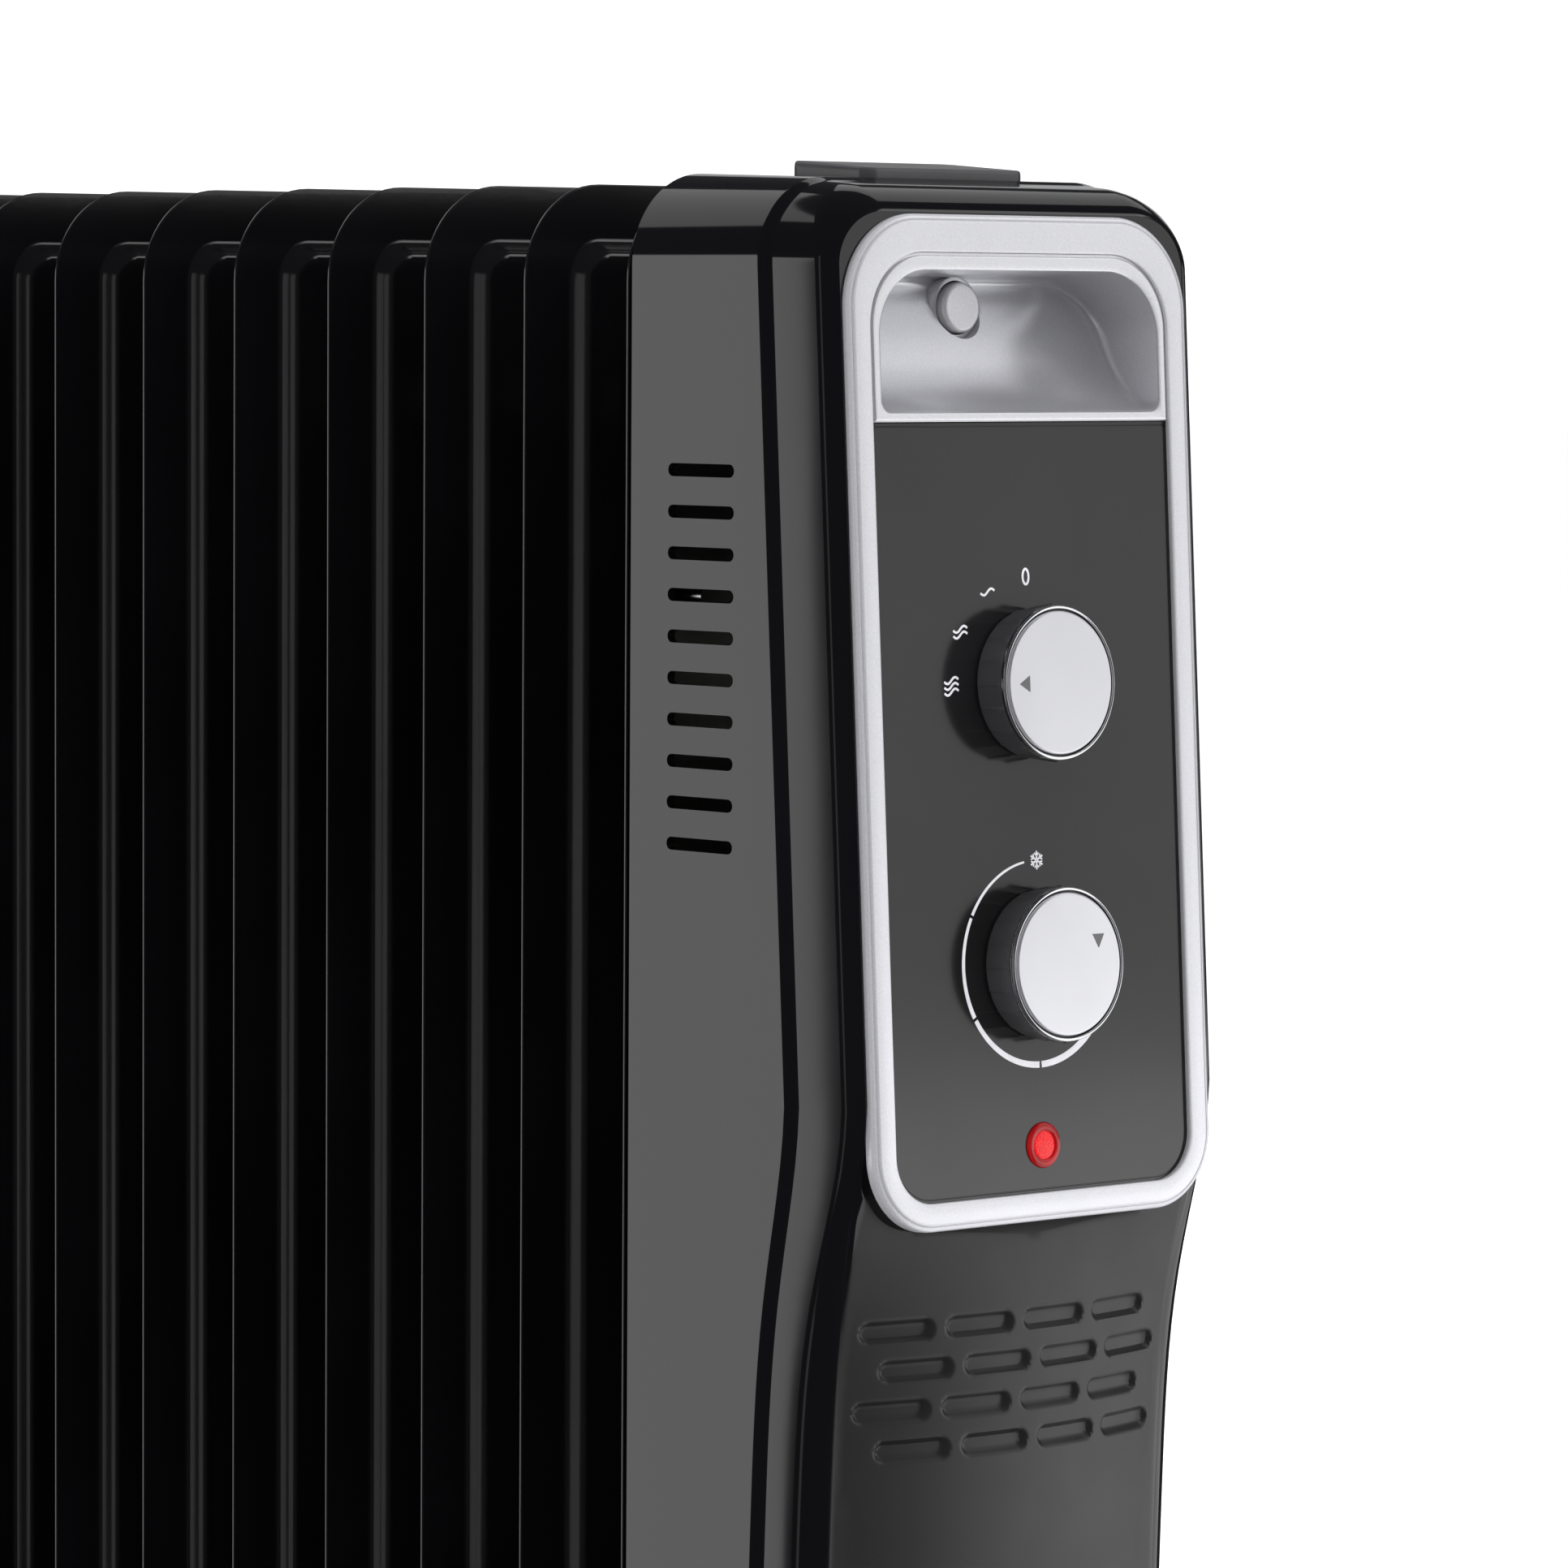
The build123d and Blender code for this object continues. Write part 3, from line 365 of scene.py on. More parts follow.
def silver_paint(name, metallic, low, high, rough_low, rough_high):
    """Satin silver paint with fine metal flake."""
    m = Nodes(name, Metallic=metallic, IOR=1.5)
    m.colours(m.noise(2600.0, 2.0), low, high)
    m.roughness(m.noise(48.0, 4.0), rough_low, rough_high)
    m.bump([(m.noise(3200.0, 2.0), 0.06, 0.00006), (m.noise(30.0, 2.0), 0.01, 0.0008)])
    return m.material


def ink(name, colour):
    """Screen-printed ink, slightly uneven."""
    m = Nodes(name)
    m.colours(m.noise(300.0, 3.0), tuple(c * 0.9 for c in colour), colour)
    m.roughness(m.noise(200.0, 2.0), 0.4, 0.55)
    m.bump([(m.noise(2500.0, 2.0), 0.05, 0.00003)])
    return m.material


def lens_material(name, low, high, painted_glow, prism):
    """Clear red moulded lens with a painted glow: its emission stands in for light, as the lamp behind it is
    not lit. The centre disc has fine prisms.
    """
    m = Nodes(name, IOR=1.36, Coat_Weight=0.1, Coat_Roughness=0.05)
    m.colours(m.noise(2400.0 if prism else 180.0, 2.0), low, high)
    m.roughness(m.noise(90.0, 2.0), 0.10, 0.18)
    m.bump([(m.noise(1900.0, 1.0), 0.6 if prism else 0.05, 0.0003)])
    # Painted glow: a red emission on the lens of a lamp that is not lit.
    m.shader.inputs["Emission Color"].default_value = (1.0, 0.012, 0.015, 1)
    m.shader.inputs["Emission Strength"].default_value = painted_glow
    return m.material


# The satin grain fades in on the chin between these pairs, in metres: across, up and forward.
CHIN_SATIN_Y, CHIN_SATIN_Z, CHIN_SATIN_X = (0.0648, 0.0620), (0.366, 0.350), (0.235, 0.240)


def chin_mask(m):
    """1 on the satin chin, 0 on the gloss parts of the housing."""
    split = m.add("ShaderNodeSeparateXYZ")
    m.link(m.where, split.inputs["Vector"])
    across = m.add("ShaderNodeMath", operation="ABSOLUTE")
    m.link(split.outputs["Y"], across.inputs[0])
    sides = m.add("ShaderNodeMapRange", interpolation_type="SMOOTHSTEP")
    rise = m.add("ShaderNodeMapRange", interpolation_type="SMOOTHSTEP")
    depth = m.add("ShaderNodeMapRange", interpolation_type="SMOOTHSTEP")
    limits = ((sides, across.outputs[0], CHIN_SATIN_Y), (rise, split.outputs["Z"], CHIN_SATIN_Z),
              (depth, split.outputs["X"], CHIN_SATIN_X))
    for node, source, (start, end) in limits:
        node.inputs["From Min"].default_value = start
        node.inputs["From Max"].default_value = end
        m.link(source, node.inputs["Value"])
    first = m.add("ShaderNodeMath", operation="MULTIPLY")
    m.link(sides.outputs["Result"], first.inputs[0])
    m.link(rise.outputs["Result"], first.inputs[1])
    both = m.add("ShaderNodeMath", operation="MULTIPLY")
    m.link(first.outputs[0], both.inputs[0])
    m.link(depth.outputs["Result"], both.inputs[1])
    return both.outputs[0]


MAT = {
    "fin_enamel": enamel_material(),
    "housing_gloss": gloss_material(),
    "panel_matte": satin_plastic("panel_matte", (0.006, 0.006, 0.0065), (0.009, 0.009, 0.0098),
                                 0.13, 0.18, 1800.0, 0.03),
    "silver_satin": silver_paint("silver_satin", 0.55, (0.52, 0.52, 0.55), (0.59, 0.59, 0.62), 0.30, 0.38),
    "pocket_silver": silver_paint("pocket_silver", 0.8, (0.62, 0.62, 0.65), (0.70, 0.70, 0.73), 0.285, 0.33),
    "knob_gloss": satin_plastic("knob_gloss", (0.030, 0.030, 0.032), (0.044, 0.044, 0.047),
                                0.30, 0.38, 1500.0, 0.04),
    "rim_chrome": metal("rim_chrome", (0.82, 0.82, 0.84), (0.9, 0.9, 0.92), 0.20, 0.27),
    "cap_aluminium": metal("cap_aluminium", (0.63, 0.63, 0.66), (0.69, 0.69, 0.72),
                           0.30, 0.38, 0.85, 2600.0, 0.05),
    # Painted light on both lenses: each glows, and the centre disc is painted lighter than the rim, as if lit
    # from behind.
    "red_lens": lens_material("red_lens", (0.18, 0.002, 0.003), (0.26, 0.003, 0.004), 0.03, False),
    "lens_disc": lens_material("lens_disc", (0.36, 0.004, 0.005), (0.60, 0.010, 0.012), 0.12, True),
    "smoked_grip": satin_plastic("smoked_grip", (0.035, 0.035, 0.038), (0.05, 0.05, 0.054),
                                 0.30, 0.40, 2600.0, 0.10),
    "black_plastic": satin_plastic("black_plastic", (0.014, 0.014, 0.015), (0.022, 0.022, 0.023),
                                   0.38, 0.5, 1400.0, 0.25),
    "wheel_plastic": satin_plastic("wheel_plastic", (0.02, 0.02, 0.021), (0.035, 0.035, 0.036),
                                   0.42, 0.6, 900.0, 0.2),
    "white_plastic": satin_plastic("white_plastic", (0.66, 0.66, 0.62), (0.74, 0.74, 0.70),
                                   0.35, 0.45, 1200.0, 0.1),
    "zinc_steel": metal("zinc_steel", (0.50, 0.50, 0.48), (0.66, 0.66, 0.65), 0.28, 0.42, 1.0, 500.0, 0.1),
    "screw_steel": metal("screw_steel", (0.56, 0.56, 0.57), (0.66, 0.66, 0.67),
                         0.22, 0.34, 1.0, 700.0, 0.08),
    "spring_steel": metal("spring_steel", (0.52, 0.52, 0.53), (0.62, 0.62, 0.63), 0.2, 0.3),
    "sheath_steel": metal("sheath_steel", (0.30, 0.28, 0.26), (0.44, 0.42, 0.40), 0.35, 0.5),
    "gasket": satin_plastic("gasket", (0.03, 0.03, 0.03), (0.05, 0.05, 0.05), 0.7, 0.85, 600.0, 0.3),
    "wire_cover": satin_plastic("wire_cover", (0.20, 0.06, 0.03), (0.28, 0.09, 0.05), 0.4, 0.5),
}
INK_WHITE = ink("ink_white", (0.62, 0.62, 0.65))
INK_DARK = ink("ink_dark", (0.09, 0.09, 0.095))

SLOT = {s["node"]: s["material_slot"] for s in frame["record"]["subparts"]}
for node, piece in frame["nodes"].items():
    piece.data.materials.clear()
    piece.data.materials.append(MAT[SLOT[node]])


# ---------------------------------------------------------------- fins
# Lengths of the shapes below are millimetres; add_mesh turns them to metres.
FIN_PROFILE = [(0.0, 0.0), (0.03, 0.32), (0.14, 0.52), (0.35, 0.6), (15.4, 0.6), (16.4, 0.8), (17.3, 1.65),
               (18.4, 3.5), (19.4, 5.05), (20.2, 5.75), (21.2, 6.0)]
WINDOW_PROFILE = [(0.0, 6.0), (0.5, 5.7), (1.0, 5.0), (1.5, 2.4), (2.0, 1.0), (2.7, 0.6)]
WINDOW_HALF_W, WINDOW_LOW, WINDOW_HIGH = 25.2, 170.3, 541.7
NECK_ROOT_R, NECK_TIP_R, NECK_REACH, NECK_BORE_R = 31.5, 27.0, 22.5, 20.0
FIN_CORNER, PAD_HEIGHT, HEADER_INSET = 28.0, 6.0, 62.0
CAP_REACH = 13.0                               # the closed headers of the two end fins


def fin_side(build, side, reach):
    """One side of a fin: rim, flange, ramp, channel, sunk web and header necks."""
    low, high = mm_box("fin_05")
    outline = rounded_loop(high.y, low.z, high.z, FIN_CORNER, FIN_CORNER, arc=14)
    place = lambda y, z, out: Vector((side * out, y, z))
    rings = sweep_profile(build, outline, FIN_PROFILE, place)
    window = rounded_loop(WINDOW_HALF_W, WINDOW_LOW, WINDOW_HIGH, 13.0, 13.0, arc=8)
    window_rings = sweep_profile(build, window, WINDOW_PROFILE, place)
    build.faces.append(tuple(window_rings[-1]))
    circles = []
    for z, end in zip((low.z + HEADER_INSET, high.z - HEADER_INSET), reach):
        tip = NECK_ROOT_R - (NECK_ROOT_R - NECK_TIP_R) * (end - PAD_HEIGHT) / (NECK_REACH - PAD_HEIGHT)
        profile = [(NECK_ROOT_R + 0.3, PAD_HEIGHT), (NECK_ROOT_R - 0.5, 6.3), (NECK_ROOT_R - 0.9, 7.2),
                   (tip, end - 0.3), (tip - 0.3, end)]
        if end == NECK_REACH:
            profile += [(NECK_BORE_R, end)]
        else:
            profile += [(tip - 4, end), (tip - 5.5, end - 0.5), (NECK_BORE_R, end - 0.5)]
        profile += [(NECK_BORE_R, end - 2.5)]
        turned = lathe(build, profile, lambda y, zz, h, z=z: Vector((side * h, y, z + zz)), count=56)
        circles.append([build.points[i].yz for i in turned[0]])
    pad = [build.points[i].yz for i in rings[-1]]
    web = [build.points[i].yz for i in window_rings[0]]
    build.fill([pad, web] + circles, lambda y, z: Vector((side * FIN_PROFILE[-1][1], y, z)))


def fins():
    """The fins: one open pattern, and the two end fins with closed headers."""
    patterns = {}
    count = sum(1 for node in frame["nodes"] if node.startswith("fin_"))
    for number in range(1, count + 1):
        kind = "first" if number == 1 else "last" if number == count else "middle"
        low, high = mm_box(f"fin_{number:02d}")
        x = high.x - (CAP_REACH if kind == "first" else NECK_REACH)
        if kind not in patterns:
            build = Build()
            for side, closed in ((1, kind == "first"), (-1, kind == "last")):
                end = CAP_REACH if closed else NECK_REACH
                fin_side(build, side, (end, end))
            patterns[kind] = build
        build = patterns[kind]
        fin = add_mesh(f"fin_skin_{number:02d}", [p + Vector((x, 0, 0)) for p in build.points], build.faces,
                       MAT["fin_enamel"], smooth_angle=50)
        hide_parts(f"fin_{number:02d}")


# ---------------------------------------------------------------- control housing
# Edge sections from the side face round to the front, as (inset from the outline, depth behind the face
# plane). EDGE_LEAN is the way the wall's thickness lies at each point: (in from the outline, back).
SIDE_EDGE = [(0.0, 26.6), (0.1, 26.1), (0.65, 24.7), (1.3, 23.3), (1.6, 22.6), (1.7, 22.0), (3.2, 6.4),
             (3.55, 5.4), (4.15, 4.5), (4.9, 3.75), (5.7, 3.05), (6.5, 2.7), (7.1, 2.8), (7.7, 2.5),
             (8.3, 2.0)]
TOP_EDGE = [(1.4, 26.6), (1.5, 26.1), (1.9, 24.8), (2.3, 23.5), (2.5, 22.7), (2.6, 22.0), (3.2, 15.6),
            (4.1, 11.6), (5.4, 8.4), (7.0, 6.2), (8.4, 4.6), (9.5, 3.6), (10.1, 3.3), (10.7, 2.7),
            (11.1, 2.0)]
CHIN_EDGE = [(0.0, 24.6), (0.1, 24.1), (0.65, 22.7), (1.3, 21.4), (1.6, 20.7), (1.75, 20.0), (2.65, 10.0),
             (3.1, 8.7), (4.0, 7.3), (5.3, 6.0), (7.0, 4.95), (8.8, 4.25), (10.4, 3.85), (11.8, 3.66),
             (13.2, 3.6)]
EDGE_LEAN = [(1.0, 0.0)] * 6 + [(0.92, 0.4)] + [(0.6, 0.8)] * 3 + [(0.1, 1.0)] * 5
WALL = 2.6
FACE_SET, GROOVE_SET = 3.6, 2.0
CORNER_TOP, CORNER_LOW = 26.0, 10.0
SEAT_OUT = (66.15, 344.75, 627.75, 22.1, 26.8)
SEAT_BACK = -3.2
VENT_TOP, VENT_PITCH, VENT_COUNT, VENT_LENGTH, VENT_HEIGHT, VENT_BACK = 555.6, 11.67, 10, 27.7, 3.7, 56.0
BLIND_TOP, BLIND_PITCH_Y, BLIND_PITCH_Z, BLIND_SHIFT = 316.5, 28.4, 11.4, 3.6
BLIND_LENGTH, BLIND_HEIGHT, BLIND_DEPTH, BLIND_EDGE = 23.0, 5.0, 1.7, 1.9


def chin(z):
    """0 on the upper housing, 1 well down the chin."""
    drop = max(0.0, CHIN_START - z)
    return 1 - math.exp(-(drop / CHIN_RUN) ** 2)


def plane_x(z):
    """The face plane's X at height z, falling back below the frame."""
    drop = max(0.0, CHIN_START - z)
    return FACE_X - (z - FACE_Z) * math.tan(TILT) - CHIN_DEPTH * chin(z) - CHIN_SLOPE * drop


def blind_slots():
    """Centres of the chin's blind slots."""
    slots = []
    for row in range(4):
        shift = BLIND_SHIFT if row % 2 else -BLIND_SHIFT
        z = BLIND_TOP - row * BLIND_PITCH_Z
        slots += [((column - 1.5) * BLIND_PITCH_Y + shift, z) for column in range(4)]
    return slots


def front_depth(y, z):
    """The front surface's depth behind the face plane, between the lips: flat above, crowned on the chin."""
    c = chin(z)
    lip_w = 66.7 + (61.8 - 66.7) * c
    base = GROOVE_SET + (FACE_SET - GROOVE_SET) * c
    crown = CHIN_CROWN * c * max(0.0, 1 - (y / lip_w) ** 2) * step((z - 77.0) / 24.0)
    dent = 0.0
    if 270 < z < 328:
        for sy, sz in blind_slots():
            across = max(0.0, abs(y - sy) - (BLIND_LENGTH - BLIND_HEIGHT) / 2)
            reach = math.hypot(across, z - sz)
            wall = step((reach - BLIND_HEIGHT / 2 + BLIND_EDGE / 2) / BLIND_EDGE)
            dent = max(dent, BLIND_DEPTH * (1 - wall))
    return base - crown + dent


def edge_ring(build, loop, k, wall):
    """One ring of the housing's edge section, or of its inner skin when wall is over 0."""
    points = []
    for p, n in loop:
        c = chin(p.y)
        top = max(0.0, n.y) ** 1.5
        low = max(0.0, -n.y)
        i = SIDE_EDGE[k][0] * (1 - c) + CHIN_EDGE[k][0] * c
        d = SIDE_EDGE[k][1] * (1 - c) + CHIN_EDGE[k][1] * c
        i, d = i + (TOP_EDGE[k][0] - i) * top, d + (TOP_EDGE[k][1] - d) * top
        i *= 1 - 0.65 * low
        lean = EDGE_LEAN[k]
        q = p - n * (i + wall * lean[0])
        points.append(Vector((plane_x(q.y) - d - wall * lean[1], q.x, q.y)))
    return build.ring(points)


def side_panel(build, rear, front, vents):
    """The flat of one side face between two rings' side points, with the vents left open."""
    outline = [build.points[i].xz for i in rear] + [build.points[i].xz for i in reversed(front)]
    y = build.points[rear[0]].y
    build.fill([outline] + vents, lambda x, z: Vector((x, y, z)))


def vent_loop(x, z, count=8):
    """The outline of one vent, round-ended."""
    r = VENT_HEIGHT / 2
    reach = VENT_LENGTH / 2 - r
    loop = []
    for end, start in ((1, -90), (-1, 90)):
        for i in range(count + 1):
            a = math.radians(start + 180 * i / count)
            loop.append(Vector((x + end * reach + r * math.cos(a), z + r * math.sin(a))))
    return loop


# Heights and grids of points, as (start, stop, gap). The front is finest where the blind slots are.
SIDE_LEVELS, SEAT_LEVELS = (76, 628, 8), (370, 598, 12)
SLOT_GRID_Y, SLOT_GRID_Z = (-60, 60, 0.75), (272, 326, 0.75)
PLAIN_GRID_Y, PLAIN_GRID_LOW, PLAIN_GRID_HIGH = (-56, 56, 4), (82, 270, 8), (329, 341, 3)
INNER_GRID_Y, INNER_GRID_Z = (-54, 54, 9), (84, 336, 9)
REAR_CHAMFER = 0.35


def grid(columns, rows):
    """Every (y, z) pair of the given numbers."""
    return [(y, z) for y in columns for z in rows]


def housing():
    """The moulded housing: side faces with vents, stepped edge, bevel, lip, frame seat and chin."""
    build = Build()
    low, high = mm_box("control_housing")
    levels = frange(*SIDE_LEVELS)
    loop = rounded_loop(high.y, low.z, high.z, CORNER_LOW, CORNER_TOP, arc=18, sides=levels)
    right = [i for i, (p, n) in enumerate(loop) if n.x > 0.999]
    left = [i for i, (p, n) in enumerate(loop) if n.x < -0.999]
    seat = rounded_loop(SEAT_OUT[0], SEAT_OUT[1], SEAT_OUT[2], SEAT_OUT[3], SEAT_OUT[4], arc=14,
                        sides=frange(*SEAT_LEVELS))
    vents = [vent_loop(FACE_X - VENT_BACK, VENT_TOP - k * VENT_PITCH) for k in range(VENT_COUNT)]
    sets = {}
    for wall in (0.0, WALL):
        rear_x = low.x + (REAR_CHAMFER if wall == 0 else 0.0)
        rear = build.ring([Vector((rear_x, (p - n * wall).x, (p - n * wall).y)) for p, n in loop])
        edges = [edge_ring(build, loop, k, wall) for k in range(len(SIDE_EDGE))]
        for side in (right, left):
            side_panel(build, [rear[i] for i in side], [edges[0][i] for i in side], vents)
        for i in range(len(loop)):
            j = (i + 1) % len(loop)
            if not (i in right and j in right) and not (i in left and j in left):
                build.faces.append((rear[i], rear[j], edges[0][j], edges[0][i]))
        for a, b in zip(edges, edges[1:]):
            build.bridge(a, b)
        seat_flat = [face_point(p.x, p.y, SEAT_BACK).yz for p, n in seat]
        front = [plane_x(p.y) - front_depth(p.x, p.y) - wall for p in seat_flat]
        hole = build.ring([Vector((x, p.x, p.y)) for x, p in zip(front, seat_flat)])
        if wall == 0.0:
            inner = grid(frange(*SLOT_GRID_Y), frange(*SLOT_GRID_Z))
            inner += grid(frange(*PLAIN_GRID_Y), frange(*PLAIN_GRID_LOW) + frange(*PLAIN_GRID_HIGH))
        else:
            inner = grid(frange(*INNER_GRID_Y), frange(*INNER_GRID_Z))
        outline = [build.points[i].yz for i in edges[-1]]
        build.fill([outline, seat_flat], lambda y, z, w=wall: Vector(
            (plane_x(z) - front_depth(y, z) - w, y, z)), inner)
        rim = [build.points[i] for i in edges[-1]]
        sets[wall] = (rear, hole, outline, rim)
    outer, inner_skin = sets[0.0], sets[WALL]
    lip = build.ring([Vector((low.x, (p - n * 0.35).x, (p - n * 0.35).y)) for p, n in loop])
    build.bridge(outer[0], lip)
    build.bridge(lip, inner_skin[0])
    floor = build.ring([face_point(p.x, p.y, SEAT_BACK) for p, n in seat])
    ledge = build.ring([face_point((p - n * 5).x, (p - n * 5).y, SEAT_BACK) for p, n in seat])
    under = build.ring([face_point((p - n * 5).x, (p - n * 5).y, SEAT_BACK - WALL) for p, n in seat])
    for a, b in ((outer[1], floor), (floor, ledge), (ledge, under), (under, inner_skin[1])):
        build.bridge(a, b)
    for side in (1, -1):
        for vent in vents:
            mouth = build.ring([Vector((p.x, side * high.y, p.y)) for p in vent])
            back = build.ring([Vector((p.x, side * (high.y - WALL), p.y)) for p in vent])
            build.bridge(mouth, back)
    piece = add_mesh("housing_skin", build.points, build.faces, MAT["housing_gloss"],
                     smooth_angle=38)
    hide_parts("control_housing")


# ---------------------------------------------------------------- control face
FRAME_OUT = (66.0, 344.9, 627.6, 22.0, 26.6)
FRAME_IN = (57.6, 353.0, 616.9, 13.6, 21.0)
FRAME_OUTER_EDGE = [(0.0, -3.2), (0.05, -1.2), (0.2, -0.7), (0.5, -0.3), (0.9, -0.1), (1.4, -0.02),
                    (1.55, -0.2), (1.72, -0.2), (1.82, 0.15), (2.1, 0.36), (2.7, 0.4)]
FRAME_INNER_EDGE = [(-1.2, 0.4), (-0.45, 0.35), (-0.15, 0.2), (-0.03, -0.05), (0.0, -0.5), (0.0, -1.1),
                    (-0.5, -1.15), (-0.5, -3.2)]
PANEL_OUT = (57.9, 352.7, 569.7, 13.9, 0.4)
PANEL_EDGE = [(0.0, -3.2), (0.0, -1.45), (0.25, -1.2), (0.95, -1.2), (1.08, -1.32), (1.25, -1.32),
              (1.38, -1.2), (1.8, -1.2)]
SELECTOR_Z, THERMOSTAT_Z, LAMP_Z, LAMP_R = 496.2, 417.3, 366.2, 6.5
INSERT_OUT = (57.5, 569.8, 616.8, 0.4, 20.9)
INSERT_RIDGE = (57.0, 569.95, 616.0, 0.5, 20.2)
INSERT_MOUTH = (53.9, 572.4, 612.0, 3.6, 18.6)
POCKET_CURVE = [(572.4, 3.6), (575.0, 8.6), (579.0, 13.8), (584.0, 17.8), (590.0, 21.0), (597.0, 24.0),
                (604.0, 27.4), (608.5, 30.2), (612.0, 31.0)]
BUTTON_Z, BUTTON_R, BUTTON_FACE, BUTTON_BACK, BUTTON_ROLL = 603.0, 7.2, -23.4, -38.0, 1.3
COLLAR_R, COLLAR_FACE = 9.0, -26.2


def loops_between(build, outer, inner, steps):
    """Rings from one face loop to another: (share of the way, out) pairs."""
    rings = []
    for share, out in steps:
        rings.append(build.ring([face_point(*(a[0].lerp(b[0], share)), out) for a, b in zip(outer, inner)]))
    return rings


def silver_frame():
    """The satin frame: a rounded, grooved outer edge, a slightly crowned face and a rolled inner edge."""
    build = Build()
    outer = rounded_loop(*FRAME_OUT, arc=20, sides=())
    inner = rounded_loop(*FRAME_IN, arc=20, sides=())
    out_rings = sweep_profile(build, outer, FRAME_OUTER_EDGE, face_point)
    edge_a = [(p - n * FRAME_OUTER_EDGE[-1][0], n) for p, n in outer]
    edge_b = [(p - n * FRAME_INNER_EDGE[0][0], n) for p, n in inner]
    face_rings = loops_between(build, edge_a, edge_b, [(0.25, 0.47), (0.5, 0.5), (0.75, 0.47)])
    in_rings = sweep_profile(build, inner, FRAME_INNER_EDGE, face_point)
    rings = [out_rings[-1]] + face_rings + [in_rings[0]]
    for a, b in zip(rings, rings[1:]):
        build.bridge(a, b)
    build.bridge(in_rings[-1], out_rings[0])
    piece = add_mesh("silver_frame_skin", build.points, build.faces, MAT["silver_satin"],
                     smooth_angle=50)
    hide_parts("silver_frame")


def circle(y, along, r, count=40):
    return [(y + r * math.cos(2 * math.pi * i / count), along + r * math.sin(2 * math.pi * i / count))
            for i in range(count)]


def control_panel():
    """The dark panel, with a fine border line and holes for shafts, screws and lamp."""
    build = Build()
    loop = rounded_loop(*PANEL_OUT, arc=14)
    rings = sweep_profile(build, loop, PANEL_EDGE, face_point)
    holes = [circle(0, LAMP_Z, LAMP_R + 0.05)]
    for along in (SELECTOR_Z, THERMOSTAT_Z):
        holes += [circle(0, along, 5.0), circle(-12, along, 1.7, 16), circle(12, along, 1.7, 16)]
    front, back = PANEL_EDGE[-1][1], PANEL_EDGE[0][1]
    build.fill([inset_loop(loop, PANEL_EDGE[-1][0])] + holes, lambda y, a: face_point(y, a, front))
    build.fill([inset_loop(loop, 0)] + holes, lambda y, a: face_point(y, a, back))
    for hole in holes:
        mouth = build.ring([face_point(*p, front) for p in hole])
        build.bridge(mouth, build.ring([face_point(*p, back) for p in hole]))
    piece = add_mesh("control_panel_skin", build.points, build.faces, MAT["panel_matte"],
                     smooth_angle=30)
    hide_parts("control_panel")


def pocket_depth(along):
    """Depth of the grip pocket's back at a height on the face, a smooth curve through POCKET_CURVE."""
    curve = POCKET_CURVE
    along = min(max(along, curve[0][0]), curve[-1][0])
    k = max(i for i in range(len(curve) - 1) if curve[i][0] <= along)
    (x0, d0), (x1, d1) = curve[k], curve[k + 1]
    before = curve[k - 1] if k else (2 * x0 - x1, 2 * d0 - d1)
    after = curve[k + 2] if k + 2 < len(curve) else (2 * x1 - x0, d1)
    m0 = (d1 - before[1]) / (x1 - before[0]) * (x1 - x0)
    m1 = (after[1] - d0) / (after[0] - x0) * (x1 - x0)
    t = (along - x0) / (x1 - x0)
    return ((2 * t ** 3 - 3 * t ** 2 + 1) * d0 + (t ** 3 - 2 * t ** 2 + t) * m0
            + (-2 * t ** 3 + 3 * t ** 2) * d1 + (t ** 3 - t ** 2) * m1)


def grip_insert():
    """The silver grip recess: a raised band round a scooped finger pocket, with the button's collar."""
    build = Build()
    levels = list(frange(577.5, 592, 1.5))
    sizes = (INSERT_OUT, INSERT_RIDGE, INSERT_MOUTH)
    outer, ridge, mouth = (rounded_loop(*size, arc=20, sides=levels) for size in sizes)
    rings = sweep_profile(build, outer, [(0.0, -3.2), (0.0, -0.6)], face_point)
    band = [(-0.15, -0.6), (0.0, -0.5), (0.02, -0.25), (0.2, -0.06), (0.55, 0.0)]
    rings += sweep_profile(build, ridge, band, face_point)
    build.bridge(rings[1], rings[2])
    lip = sweep_profile(build, mouth, [(-0.5, 0.0), (-0.15, -0.14), (0.0, -0.55)], face_point)
    build.bridge(rings[-1], lip[0])
    wall = []
    for inset, lift in ((0.35, 3.4), (0.65, 1.9), (1.25, 0.9), (2.1, 0.25), (3.1, 0.0)):
        ring = []
        for p, n in mouth:
            q = p - n * inset
            ring.append(face_point(q.x, q.y, -max(0.8, pocket_depth(q.y) - lift)))
        wall.append(build.ring(ring))
    for a, b in zip([lip[-1]] + wall, wall):
        build.bridge(a, b)
    back = inset_loop(mouth, 3.1)
    collar = circle(0, BUTTON_Z, COLLAR_R, 48)
    guard = inset_loop(mouth, 3.9)
    inner = [(y, a) for y in frange(-49.4, 50, 1.3) for a in frange(576.6, 610, 1.3)
             if inside((y, a), guard) and math.hypot(y, a - BUTTON_Z) > COLLAR_R + 0.8]
    build.fill([back, collar], lambda y, a: face_point(y, a, -pocket_depth(a)), inner)
    rim = [build.ring([face_point(*p, -pocket_depth(p[1])) for p in collar])]
    collar_edge = [(COLLAR_R - 0.1, COLLAR_FACE - 0.3), (COLLAR_R - 0.4, COLLAR_FACE),
                   (BUTTON_R + 0.55, COLLAR_FACE), (BUTTON_R + 0.4, COLLAR_FACE - 0.3),
                   (BUTTON_R + 0.4, -36.0)]
    for r, out in collar_edge:
        rim.append(build.ring([face_point(*p, out) for p in circle(0, BUTTON_Z, r, 48)]))
    for a, b in zip(rim, rim[1:]):
        build.bridge(a, b)
    piece = add_mesh("grip_insert_skin", build.points, build.faces, MAT["pocket_silver"],
                     smooth_angle=50, flat_first=False)
    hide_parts("grip_insert")


